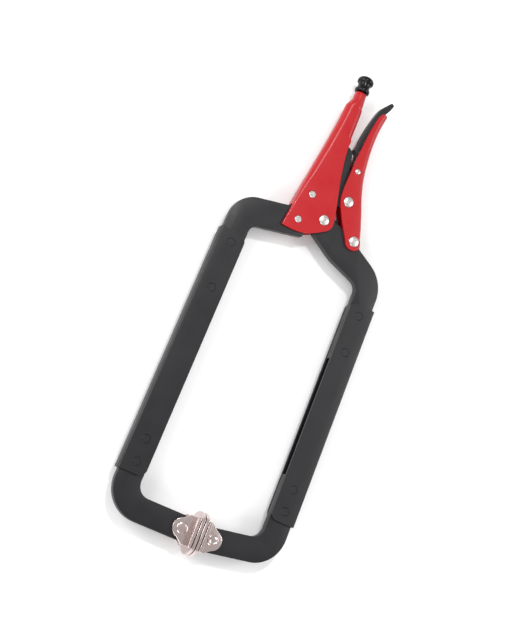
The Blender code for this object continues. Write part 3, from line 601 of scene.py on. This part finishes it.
def fixed_jaw_outline(half):
    arm = FIXED_ARM
    outer = arm.at(-45, half)[0]
    inner = arm.at(-18, -half)[0]
    wall = UPPER_SPINE[1][0] + BACK_CLEAR
    insert = arm.rivets[1] + END_RIVET
    return rounded([
        arm.at(insert, -half), arm.at(insert, half),
        (outer, fixed_bar_y(outer), OUTER_BEND['fixed_jaw']), (wall, fixed_bar_y(wall), 3.0),
        (wall + 3.6, 22.0, 12.0), (wall + 7.0, 31.5, 5.0), (-19.0, 31.5, 6.0),
        *arc(JAW_PIVOT, FIXED_JAW_HUB, 145, 205), (-17.3, fixed_bar_y(-17.3, FIXED_BAR_WIDE), 1.5),
        (inner, fixed_bar_y(inner, FIXED_BAR_WIDE), INNER_BEND['fixed_jaw'])])


def moving_jaw_outline(half):
    arm = MOVING_ARM
    outer = arm.at(-35, half)[0]
    inner = arm.at(-20, -half)[0]
    insert = arm.rivets[1] + END_RIVET
    return rounded([
        (-4.7, -20.7, 2.0), (27.5, -38.5, 60.0), (inner, -52.6, INNER_BEND['moving_jaw']),
        arm.at(insert, -half), arm.at(insert, half),
        (outer, -33.4, OUTER_BEND['moving_jaw']), (57.6, -10.6, 3.0),
        *arc(LEVER_PIVOT, LEVER_HUB, 10, 150),
        (25.0, 4.0, 10.0), *arc(JAW_PIVOT, MOVING_JAW_HUB, 30, 200)])


def tip_outline(arm, pad_rivet, toward, slope, half):
    """The bent bar from a channel's lower end to its pad."""
    reach = PAD_REACH - PAD_THICK - PAD_BACK - 2 * FIT
    trim = half - 0.5
    rake = math.radians(PAD_SWIVEL + 1.5)          # just past the swivel's limit
    along = Vector((math.cos(math.radians(slope)), math.sin(math.radians(slope))))
    across = Vector((-along.y, along.x))

    def corner(side):
        normal = Vector((math.cos(rake), side * math.sin(rake)))
        flat = Vector((-math.sin(rake), side * math.cos(rake)))
        return reach * normal + flat * (side * trim - reach * normal.dot(across)) / flat.dot(across)

    lower, upper = corner(-1), corner(1)
    local = [lower - 6.0 * along, (*lower, 1.0), *arc((0, 0), reach, -PAD_SWIVEL, PAD_SWIVEL),
             (*upper, 1.0), upper - 6.0 * along]
    end = [(pad_rivet[0] + toward * p[0], pad_rivet[1] + p[1], *p[2:]) for p in local]
    tilt = math.tan(math.radians(slope))
    outer_x = arm.at(arm.length + 25, half)[0]
    inner_x = arm.at(arm.length + 10, -half)[0]
    outer_y = end[0][1] + (outer_x - end[0][0]) * toward * tilt
    inner_y = end[-1][1] + (inner_x - end[-1][0]) * toward * tilt
    start = arm.length - TIP_INNER - END_RIVET
    return rounded([arm.at(start, -half), arm.at(start, half),
                    (outer_x, outer_y, OUTER_BEND['tip']),
                    *end, (inner_x, inner_y, INNER_BEND['tip'])])


def make_bars(context):
    sizes = context.scene.pliers_sizes
    thick = sizes.bar_thick / MM / 2
    half = sizes.bar_width / MM / 2
    eased = sizes.eased / MM

    def bar(node, outline, holes, lugs=()):
        bm = block(outline, -thick, thick)
        bevel(bm, rims(bm), eased, 3)
        bm = combine(bm, lugs, 'UNION')
        bm = combine(bm, [drill(centre, radius + HOLE_FIT) for centre, radius in holes])
        place(context, bm, node)

    bar('fixed_jaw', fixed_jaw_outline(half),
        [(c, FLUSH_RIVET[0]) for c in FIXED_RIVETS]
        + [(FIXED_ARM.at(d, 0), ARM_RIVET[0]) for d in FIXED_ARM.rivets[:2]])
    ear = block([*arc(SPRING_JAW, EYE_LUG, -20, 160, 15), (8.0, 2.0), (20.0, -6.0)],
                -EYE_THICK / 2, EYE_THICK / 2)
    bar('moving_jaw', moving_jaw_outline(half),
        [(JAW_PIVOT, PIVOT_RIVET[0]), (LEVER_PIVOT, PIVOT_RIVET[0]),
         (SPRING_JAW, EYE_HOLE - HOLE_FIT)]
        + [(MOVING_ARM.at(d, 0), ARM_RIVET[0]) for d in MOVING_ARM.rivets[:2]], [ear])
    for node, arm, rivet_at, toward, slope in (
            ('fixed_arm_tip', FIXED_ARM, FIXED_PAD_RIVET, 1, 0.0),
            ('moving_arm_tip', MOVING_ARM, MOVING_PAD_RIVET, -1, -9.3)):
        holes = [(arm.at(d, 0), ARM_RIVET[0]) for d in arm.rivets[2:]]
        bar(node, tip_outline(arm, rivet_at, toward, slope, half),
            [*holes, (rivet_at, PAD_RIVET[0])])


def make_arms(context):
    """Folded channels: web outside, open to the throat."""
    sizes = context.scene.pliers_sizes
    inner = sizes.bar_thick / MM / 2 + FIT
    sheet = sizes.sheet / MM
    web = sizes.bar_width / MM / 2 + FIT
    for node, arm in (('fixed_arm', FIXED_ARM), ('moving_arm', MOVING_ARM)):
        outer = web + sheet
        bm = block(rounded([arm.at(0, outer), arm.at(arm.length, outer),
                            (*arm.at(arm.length, -web), ARM_CORNER),
                            (*arm.at(0, -web), ARM_CORNER)]),
                   -inner - sheet, inner + sheet)
        folds = rims(bm, lambda m: abs((Vector(m[:2]) - arm.top).dot(arm.out) - outer) < 0.01)
        bevel(bm, folds, sizes.arm_fold / MM, 6)
        hollow = block([arm.at(-5, web), arm.at(arm.length + 5, web),
                        arm.at(arm.length + 5, -web - 5), arm.at(-5, -web - 5)], -inner, inner)
        corners = rims(hollow, lambda m: abs((Vector(m[:2]) - arm.top).dot(arm.out) - web) < 0.01)
        bevel(hollow, corners, ARM_HOLLOW_FOLD, 3)
        holes = [drill(arm.at(d, 0), ARM_RIVET[0] + HOLE_FIT) for d in arm.rivets]
        place(context, combine(bm, [hollow, *holes]), node, eased=0.35)


# ---------------------------------------------------------------- handles
def make_upper_handle(context):
    """The fixed handle: a folded channel, rolled shut above and drawn in to a tube."""
    sizes = context.scene.pliers_sizes
    inner = sizes.bar_thick / MM / 2 + FIT
    sheet = sizes.sheet / MM
    outer = inner + sheet
    spine = flowing([(UPPER_SPINE[0][0] - 2.0, -44.0), *UPPER_SPINE])
    far = 40.0                   # the open side, trimmed off by the profile
    slices = []
    heights = [-36.0 + 4.5 * k for k in range(32)] + [ROLL_START - 0.02, ROLL_START]
    heights += [ROLL_START + 4.75 * k for k in range(1, 9)]
    for y in sorted(heights):
        rolled = y >= ROLL_START
        slices.append(slice_at(y, at_height(spine, y), ROLL_X if rolled else far, outer,
                               between(UPPER_FOLD, y), ROLL_FOLD if rolled else SQUARE))
    left = at_height(spine, NECK_START)
    for y in (*NECK_SLICES, TUBE_END - 0.7, TUBE_END - 0.2, TUBE_END):
        radius = TUBE_OUTER - TUBE_TAPER * smooth(y, NECK_START, TUBE_END)
        radius -= 0.9 * smooth(y, TUBE_END - 1.1, TUBE_END)
        step = smooth(y, *SHOULDER)
        half = outer + (radius - outer) * step
        slices.append(slice_at(
            y, left + (SCREW_X - radius - left) * smooth(y, NECK_START, TUBE_START),
            ROLL_X + (SCREW_X + radius - ROLL_X) * step, half, half, half))

    nose = arc(JAW_PIVOT, UPPER_NOSE, 15, -50)
    lower = flowing([nose[-1], (-2.0, -17.8), (-14.0, -24.4), (-27.0, -27.8), (-40.0, -28.6),
                     (-47.6, -28.3), (-60.0, -27.5)], 6)[1:]
    profile = block([(-60.0, 190.0), (20.0, 190.0), (20.0, ROLL_START), *flowing(UPPER_EDGE),
                     *nose, *lower], -PROFILE_HALF, PROFILE_HALF)
    bm = combine(loft(slices), [profile], 'INTERSECT')

    inside = beside(spine, sheet)
    web_start = fixed_bar_y(UPPER_SPINE[1][0]) + 3.0
    top = UPPER_WEB_TOP
    cavity = block([(-70.0, -50.0), (-70.0, web_start), (at_height(inside, web_start), web_start),
                    *[p for p in inside if web_start + 2 < p[1] < top - 2],
                    (at_height(inside, top), top), (ROLL_X - sheet, top),
                    (ROLL_X - sheet, ROLL_START), (34.0, ROLL_START), (34.0, -50.0)], -inner, inner)
    folds = rims(cavity, lambda m: 30 < m.y < top - 1 and (m.x < -20 or m.y > ROLL_START + 1))
    bevel(cavity, folds, CAVITY_FOLD, 3)
    bore = along_screw(lathe([(0, 107.0), (TUBE_BORE, 107.0), (TUBE_BORE, TUBE_END + 4),
                              (0, TUBE_END + 4)]))
    bm = combine(bm, [cavity, bore])
    root = at_height(inside, SPRING_TAB[1]) - 1.0
    tab = block([(root, SPRING_TAB[1] - 5), *arc(SPRING_TAB, EYE_LUG, -90, 90, 15),
                 (root, SPRING_TAB[1] + 5)], -EYE_THICK / 2, EYE_THICK / 2)
    bm = combine(bm, [tab], 'UNION')
    holes = [drill(SPRING_TAB, EYE_HOLE, EYE_THICK, 16),
             drill(JAW_PIVOT, PIVOT_RIVET[0] + HOLE_FIT)]
    holes += [drill(c, FLUSH_RIVET[0] + HOLE_FIT) for c in FIXED_RIVETS]
    place(context, combine(bm, holes), 'upper_handle', eased=0.4)


def make_lower_handle(context):
    """The moving handle: a folded channel, open to the upper handle and at both ends."""
    sizes = context.scene.pliers_sizes
    inner = sizes.bar_thick / MM / 2 + FIT
    sheet = sizes.sheet / MM
    outer = inner + sheet
    back = flowing([(60.0, -24.0), *LOWER_SPINE, (31.0, 164.0)])
    edge = flowing(LOWER_EDGE)
    heights = [-24.0 + 4.7 * k for k in range(41)]
    body = loft([slice_at(y, -20.0, at_height(back, y), outer, SQUARE, between(LOWER_FOLD, y))
                 for y in heights if y < 163])
    spine = flowing(LOWER_SPINE)
    nose = arc(LEVER_PIVOT, LOWER_NOSE, 207, 382)
    end = rounded([spine[-1], (27.5, 160.0, 3.0), (21.5, 159.5, 4.0), edge[0]])[1:-1]
    wide = [(x + 2.0, y) for x, y in spine if y > 12]
    profile = block([spine[0], *wide, (spine[-1][0] + 2.0, 160.5), *end, *edge, *nose],
                    -PROFILE_HALF, PROFILE_HALF)
    bm = combine(body, [profile], 'INTERSECT')
    inside = beside(spine, -sheet)
    climb = [p for p in inside if p[1] > LOWER_WEB_START + 1.5]
    cavity = block([(90.0, -40.0), (90.0, LOWER_WEB_START),
                    (at_height(inside, LOWER_WEB_START), LOWER_WEB_START),
                    *climb, (climb[-1][0], 180.0), (-30.0, 180.0), (-30.0, -40.0)], -inner, inner)
    bevel(cavity, rims(cavity, lambda m: m.x > 15 and 20 < m.y < 158), CAVITY_FOLD, 3)
    holes = [drill(c, r + HOLE_FIT) for c, r in ((LEVER_PIVOT, PIVOT_RIVET[0]),
                                                (LINK_PIVOT, PIVOT_RIVET[0]),
                                                (RELEASE_PIVOT, PIN_RIVET[0]))]
    place(context, combine(bm, [cavity, *holes]), 'lower_handle', eased=0.4)


def make_toggle(context):
    """The strut to the screw, and the release lever in the lower handle's mouth."""
    half = LINK_THICK / 2
    outline = rounded([*arc(LINK_TIP, 6.0, 70, 205), (7.0, 25.6, 4.0),
                       *arc(LINK_PIVOT, 9.6, -95, 40), (12.3, 62.0, 12.0), (3.4, 96.4, 2.5)])
    bm = block(outline, -half, half)
    bevel(bm, rims(bm), 0.8, 3)
    place(context, combine(bm, [drill(LINK_PIVOT, PIVOT_RIVET[0] + HOLE_FIT)]), 'toggle_link')

    back = flowing([(4.4, 100.4), (6.4, 106.5), (7.2, 118.0), (9.6, 134.0), (13.1, 150.3),
                    (16.8, 162.3), (19.6, 167.8), (22.3, 170.6), (23.6, 173.2), (26.4, 176.9)], 6)
    tip = arc((29.0, 175.9), 2.7, 130, -10, 20)
    mouth = flowing([(29.4, 169.0), (25.2, 160.5), (19.6, 147.0), (16.2, 130.0), (14.9, 112.0),
                     (16.6, 98.0), (21.6, 84.0)], 6)
    boss = arc(RELEASE_PIVOT, 5.2, 30, -170)
    sheet = LEVER_SHEET
    half = LEVER_WIDE / 2
    bm = block([*back, *tip, *mouth, *boss, (10.8, 87.0), (8.9, 95.6)], -half, half)
    line = {tuple(round(v, 4) for v in p) for p in back}
    folded = [e for e in rims(bm)
              if all(tuple(round(v, 4) for v in vert.co[:2]) in line for vert in e.verts)]
    bevel(bm, folded, 1.4, 4)
    floor = beside(back, sheet)
    hollow = block([*[p for p in floor if 104 < p[1] < 163], (60.0, 163.0), (60.0, 60.0),
                    (5.0, 60.0), (14.0, 92.0)], sheet - half, half - sheet)
    bm = combine(bm, [hollow, drill(RELEASE_PIVOT, PIN_RIVET[0] + HOLE_FIT)])
    place(context, bm, 'release_lever', eased=0.3)


# ---------------------------------------------------------------- rivets
def rivet(kind, half, head=None):
    """A through rivet: shank between two formed heads over a stack 2 * half thick."""
    shank, wide, height = kind
    if wide > shank:
        seat = half + 0.05
        steps = 8
        dome = [(wide * math.cos(a), seat + height * (0.3 + 0.7 * math.sin(a)))
                for a in (math.radians(90 * k / steps) for k in range(steps))]
        top = [(shank, seat), (wide - 0.3, seat), (wide, seat + 0.3), *dome, (0, seat + height)]
        if head:
            top = [(shank, seat), *((r * wide, seat + z * height) for r, z in head)]
    else:
        top = [(shank, half + height - 0.35), (shank - 0.35, half + height), (0, half + height)]
    bottom = [(r, -z) for r, z in reversed(top)]
    return lathe(bottom + top)


def make_rivets(context):
    sizes = context.scene.pliers_sizes
    inner = sizes.bar_thick / MM / 2 + FIT
    stack = inner + sizes.sheet / MM
    for node, spot, kind in (
            ('jaw_pivot_rivet', JAW_PIVOT, PIVOT_RIVET),
            ('lever_pivot_rivet', LEVER_PIVOT, PIVOT_RIVET),
            ('link_rivet', LINK_PIVOT, PIVOT_RIVET),
            ('release_lever_pin', RELEASE_PIVOT, PIN_RIVET),
            ('fixed_jaw_rivet_upper', FIXED_RIVETS[0], FLUSH_RIVET),
            ('fixed_jaw_rivet_lower', FIXED_RIVETS[1], FLUSH_RIVET)):
        place(context, moved(rivet(kind, stack), *spot), node)
    labels = ('upper_outer', 'upper_inner', 'lower_inner', 'lower_outer')
    for prefix, arm in (('fixed_arm', FIXED_ARM), ('moving_arm', MOVING_ARM)):
        for label, along in zip(labels, arm.rivets):
            place(context, moved(rivet(ARM_RIVET, stack), *arm.at(along, 0)),
                  f'{prefix}_rivet_{label}')
    ears = inner + EAR_SHEET
    place(context, moved(rivet(PAD_RIVET, ears), *FIXED_PAD_RIVET), 'fixed_pad_rivet')
    place(context, moved(rivet(PAD_RIVET, ears, DISHED), *MOVING_PAD_RIVET), 'moving_pad_rivet')


# ---------------------------------------------------------------- screw, knob and spring
def make_screw(context):
    """A threaded rod: one thread profile spun up its own pitch."""
    sizes = context.scene.pliers_sizes
    pitch = sizes.thread_pitch / MM
    low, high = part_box('adjusting_screw')
    start = low.y / MM - ORIGIN.y
    end = high.y / MM - ORIGIN.y
    crest = (high.x - low.x) / MM / 2
    root = crest - 0.61 * pitch
    turns = int((end - start - 1.0) / pitch)
    bm = bmesh.new()
    points = [(root, 0.0), (root, 0.15 * pitch), (crest, 0.45 * pitch), (crest, 0.55 * pitch),
              (root, 0.85 * pitch), (root, pitch)]
    verts = [bm.verts.new((r, 0, z)) for r, z in points]
    for a, b in zip(verts, verts[1:]):
        bm.edges.new((a, b))
    sides = 20
    bmesh.ops.spin(bm, geom=bm.verts[:] + bm.edges[:], cent=(0, 0, 0), axis=(0, 0, 1),
                   dvec=(0, 0, pitch / sides), angle=math.tau * turns, steps=sides * turns)
    bmesh.ops.remove_doubles(bm, verts=bm.verts, dist=1e-4)
    for vert in bm.verts:
        vert.co.z = min(max(vert.co.z, pitch * 0.5), pitch * (turns + 0.5))
    bmesh.ops.remove_doubles(bm, verts=bm.verts, dist=1e-4)
    bmesh.ops.holes_fill(bm, edges=[e for e in bm.edges if e.is_boundary], sides=0)
    moved(bm, 0, 0, start - pitch * 0.5 + 0.2)
    along_screw(bm)
    place(context, bm, 'adjusting_screw')


def make_knob(context):
    """A turned knob: flange, waist and rounded cap that overhangs it, every corner softened."""
    start = KNOB_START
    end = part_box('knob')[1].y / MM - ORIGIN.y
    cap = start + 12.0
    socket = start + KNOB_SOCKET
    profile = [(KNOB_BORE, start), (8.0, start), (8.9, start + 0.4), (9.35, start + 1.3),
               (9.4, start + 3.2), (9.1, start + 4.4), (8.4, start + 5.2), (7.8, start + 5.5),
               (7.6, start + 6.2), (7.7, start + 9.5), (8.0, cap), (8.7, cap + 0.2),
               (9.7, cap + 0.9), (10.3, cap + 2.1), (10.4, cap + 3.4), (10.2, cap + 4.8),
               (9.5, cap + 6.4), (8.2, cap + 7.8), (6.4, cap + 8.8), (4.4, end - 0.6),
               (2.2, end - 0.15), (0, end), (0, socket), (KNOB_BORE, socket), (KNOB_BORE, start)]
    bm = lathe(profile, 64)
    place(context, along_screw(bm), 'knob', sharp=50.0)


def make_spring(context):
    """The return spring: hook, close coil and hook between the two eyes."""
    start = Vector((*SPRING_JAW, 0))
    end = Vector((*SPRING_TAB, 0))
    along = (end - start).normalized()
    side = Vector((-along.y, along.x, 0))
    up = Vector((0, 0, 1))
    span = (end - start).length
    loop = SPRING_LOOP
    count = 16 * SPRING_TURNS
    path = []
    for degrees in range(-150, 91, 15):
        a = math.radians(degrees)
        path.append(start + along * (loop - loop * math.cos(a)) + up * loop * math.sin(a))
    first, last = 2.2 * loop, span - 2.2 * loop
    for i in range(count + 1):
        a = math.tau * i / 16
        path.append(start + along * (first + (last - first) * i / count)
                    + up * loop * math.cos(a) + side * loop * math.sin(a))
    for degrees in range(90, -151, -15):
        a = math.radians(degrees)
        path.append(end - along * (loop - loop * math.cos(a)) + up * loop * math.sin(a))
    curve = bpy.data.curves.new('spring_wire', 'CURVE')
    curve.dimensions = '3D'
    curve.bevel_depth = SPRING_WIRE
    curve.bevel_resolution = 2
    curve.use_fill_caps = True
    line = curve.splines.new('POLY')
    line.points.add(len(path) - 1)
    for point, spot in zip(line.points, path):
        point.co = (*spot, 1)
    wire = bpy.data.objects.new('spring_wire', curve)
    context.scene.collection.objects.link(wire)
    graph = context.evaluated_depsgraph_get()
    bm = bmesh.new()
    bm.from_mesh(wire.evaluated_get(graph).to_mesh())
    bpy.data.objects.remove(wire, do_unlink=True)
    bpy.data.curves.remove(curve)
    coil = place(context, bm, 'tension_spring', rides=False)
    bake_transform(coil)


# ---------------------------------------------------------------- pads
def make_pads(context):
    """Each pad: a backing plate with two ears, and a round contact face."""
    sizes = context.scene.pliers_sizes
    inner = sizes.bar_thick / MM / 2 + FIT
    thick = sizes.pad_thick / MM
    radius = sizes.pad_radius / MM
    half = PAD_HALF
    flat = math.degrees(math.asin(half / radius))

    def slab(outline, x0, x1, centre, eased):
        """An outline in Y and Z given its thickness along X."""
        bm = block(outline, x0, x1)
        bevel(bm, rims(bm), eased, 3)
        bmesh.ops.rotate(bm, verts=bm.verts, cent=(0, 0, 0),
                         matrix=Matrix(((0, 0, 1), (1, 0, 0), (0, 1, 0))))
        return moved(bm, 0, centre[1])

    for prefix, centre, toward in (('fixed', FIXED_PAD_RIVET, 1), ('moving', MOVING_PAD_RIVET, -1)):
        face = PAD_FACE_X - toward * FIT / 2
        back = face - toward * (thick + FIT)
        rear = back - toward * PAD_BACK
        disc = [*arc((0, 0), radius, -flat, flat), *arc((0, 0), radius, 180 - flat, 180 + flat)]
        reach = centre[1] + ORIGIN.y - CAD_BOX[0][1] / MM        # the pad ends at the CAD's box
        disc = [(min(max(y, -reach), reach), z) for y, z in disc]
        sides = sorted((back + toward * (FIT + GROOVE), face - toward * GROOVE))
        pad = slab(disc, *sides, centre, 0.7)
        place(context, pad, f'{prefix}_pad')

        plate = rounded([(-PLATE_HALF, -half, 3.0), (PLATE_HALF, -half, 3.0),
                         (PLATE_HALF, half, 3.0), (-PLATE_HALF, half, 3.0)])
        bracket = slab(plate, *sorted((rear, back - toward * GROOVE)), centre, 0.5)
        root = abs((rear + back) / 2 - centre[0])
        ears = []
        for low, high in ((inner, inner + EAR_SHEET), (-inner - EAR_SHEET, -inner)):
            outline = [(root, EAR_ROOT), (5.0, EAR_ROOT), *arc((0, 0), EAR_NOSE, 105, 255),
                       (5.0, -EAR_ROOT), (root, -EAR_ROOT)]
            ear = block([(centre[0] + toward * x, centre[1] + y) for x, y in outline], low, high)
            bevel(ear, rims(ear), 0.6, 3)
            ears.append(ear)
        bracket = combine(bracket, ears, 'UNION')
        bracket = combine(bracket, [drill(centre, PAD_RIVET[0] + HOLE_FIT)])
        place(context, bracket, f'{prefix}_pad_bracket')


# ---------------------------------------------------------------- stage
CAMERA_SPOT = Vector((-475.25, -472.05, 1309.44))
CAMERA_TARGET = Vector((-30.14, -145.86, 0.0))
CAMERA_ROLL = 21.94
FOCAL_LENGTH = 45.56
SENSOR_HEIGHT = 24.0


def make_stage(context):
    """Pale paper, soft lights and the camera."""
    finishes = context.scene.pliers_finishes
    bm = bmesh.new()
    bmesh.ops.create_grid(bm, x_segments=1, y_segments=1, size=6.0)
    floor = as_object(bm, 'floor')
    material, tree, shader, spot = start_material('matt_white_paper', finishes.floor, 0.9)
    tooth = add(tree, 'ShaderNodeTexNoise', {'Scale': per_metre(4.0), 'Detail': 2.0}, {'Vector': spot})
    bumped(tree, shader, tooth.outputs['Fac'], 0.02, 0.2)
    floor.data.materials.append(material)

    world = bpy.data.worlds.new('studio_air')
    world.use_nodes = True
    sky = world.node_tree.nodes['Background']
    sky.inputs['Color'].default_value = (1.0, 1.0, 1.0, 1.0)
    sky.inputs['Strength'].default_value = 0.55
    context.scene.world = world
    context.scene.view_settings.view_transform = 'Standard'

    middle = Vector((0.0, 0.0, ORIGIN.z * MM))
    for name, direction, distance, size, power in (
            ('left_softbox', (-0.85, 0.1, 0.5), 2.3, 1.6, 32.0),
            ('front_softbox', (-0.2, -0.85, 0.5), 2.6, 1.6, 26.0),
            ('right_softbox', (0.74, 0.25, 0.62), 2.4, 1.2, 18.0),
            ('line_lamp', (-0.16, 0.42, 0.89), 2.2, 0.2, 14.0)):
        lamp = bpy.data.lights.new(name, 'AREA')
        lamp.shape = 'DISK'
        lamp.size = size
        lamp.energy = power
        light = bpy.data.objects.new(name, lamp)
        aim = Vector(direction).normalized()
        light.location = middle + aim * distance
        light.rotation_euler = aim.to_track_quat('Z', 'Y').to_euler()
        context.scene.collection.objects.link(light)

    forward = (CAMERA_TARGET - CAMERA_SPOT).normalized()
    right = forward.cross(Vector((0, 1, 0))).normalized()
    up = right.cross(forward)
    roll = math.radians(CAMERA_ROLL)
    across = right * math.cos(roll) + up * math.sin(roll)
    above = up * math.cos(roll) - right * math.sin(roll)
    lens = bpy.data.cameras.new('camera')
    lens.sensor_fit = 'VERTICAL'
    lens.sensor_height = SENSOR_HEIGHT
    lens.lens = FOCAL_LENGTH
    camera = bpy.data.objects.new('camera', lens)
    turn = Matrix((across, above, -forward)).transposed().to_4x4()
    camera.matrix_world = Matrix.Translation((CAMERA_SPOT + ORIGIN) * MM) @ turn
    context.scene.collection.objects.link(camera)
    context.scene.camera = camera


# ---------------------------------------------------------------- operators
class PLIERS_OT_bars(bpy.types.Operator):
    """Make the jaw bars and the two tip bars"""
    bl_idname = "pliers.bars"
    bl_label = "Bars"

    def execute(self, context):
        make_bars(context)
        return {'FINISHED'}


class PLIERS_OT_arms(bpy.types.Operator):
    """Make the two channel arms"""
    bl_idname = "pliers.arms"
    bl_label = "Channel arms"

    def execute(self, context):
        make_arms(context)
        return {'FINISHED'}


class PLIERS_OT_upper_handle(bpy.types.Operator):
    """Make the fixed handle with its drawn tube"""
    bl_idname = "pliers.upper_handle"
    bl_label = "Upper handle"

    def execute(self, context):
        make_upper_handle(context)
        return {'FINISHED'}


class PLIERS_OT_lower_handle(bpy.types.Operator):
    """Make the moving handle"""
    bl_idname = "pliers.lower_handle"
    bl_label = "Lower handle"

    def execute(self, context):
        make_lower_handle(context)
        return {'FINISHED'}


class PLIERS_OT_toggle(bpy.types.Operator):
    """Make the toggle link and the release lever"""
    bl_idname = "pliers.toggle"
    bl_label = "Toggle link and release lever"

    def execute(self, context):
        make_toggle(context)
        return {'FINISHED'}


class PLIERS_OT_rivets(bpy.types.Operator):
    """Make every rivet"""
    bl_idname = "pliers.rivets"
    bl_label = "Rivets"

    def execute(self, context):
        make_rivets(context)
        return {'FINISHED'}


class PLIERS_OT_screw(bpy.types.Operator):
    """Make the adjusting screw and its knob"""
    bl_idname = "pliers.screw"
    bl_label = "Screw and knob"

    def execute(self, context):
        make_screw(context)
        make_knob(context)
        return {'FINISHED'}


class PLIERS_OT_pads(bpy.types.Operator):
    """Make the two swivel pads"""
    bl_idname = "pliers.pads"
    bl_label = "Swivel pads"

    def execute(self, context):
        make_pads(context)
        return {'FINISHED'}


class PLIERS_OT_spring(bpy.types.Operator):
    """Make the return spring"""
    bl_idname = "pliers.spring"
    bl_label = "Return spring"

    def execute(self, context):
        make_spring(context)
        return {'FINISHED'}


class PLIERS_OT_stage(bpy.types.Operator):
    """Set the floor, the lights and the camera"""
    bl_idname = "pliers.stage"
    bl_label = "Stage"

    def execute(self, context):
        make_stage(context)
        return {'FINISHED'}


STEPS = (PLIERS_OT_stage, PLIERS_OT_bars, PLIERS_OT_arms, PLIERS_OT_upper_handle,
         PLIERS_OT_lower_handle, PLIERS_OT_toggle, PLIERS_OT_rivets, PLIERS_OT_screw,
         PLIERS_OT_pads, PLIERS_OT_spring)


class PLIERS_PT_panel(bpy.types.Panel):
    """Lists the pieces of the pliers"""
    bl_label = "Locking pliers"
    bl_idname = "PLIERS_PT_panel"
    bl_space_type = 'VIEW_3D'
    bl_region_type = 'UI'
    bl_category = "Pliers"

    def draw(self, context):
        for group in (context.scene.pliers_sizes, context.scene.pliers_finishes):
            for key in group.__annotations__:
                self.layout.prop(group, key)
        for step in STEPS:
            self.layout.operator(step.bl_idname)


CLASSES = (PliersSizes, PliersFinishes, *STEPS, PLIERS_PT_panel)


def register():
    for kind in CLASSES:
        bpy.utils.register_class(kind)
    bpy.types.Scene.pliers_sizes = bpy.props.PointerProperty(type=PliersSizes)
    bpy.types.Scene.pliers_finishes = bpy.props.PointerProperty(type=PliersFinishes)


def unregister():
    del bpy.types.Scene.pliers_finishes
    del bpy.types.Scene.pliers_sizes
    for kind in reversed(CLASSES):
        bpy.utils.unregister_class(kind)


def main():
    register()
    for step in STEPS:
        group, name = step.bl_idname.split('.')
        getattr(getattr(bpy.ops, group), name)()


if __name__ == "__main__":
    main()
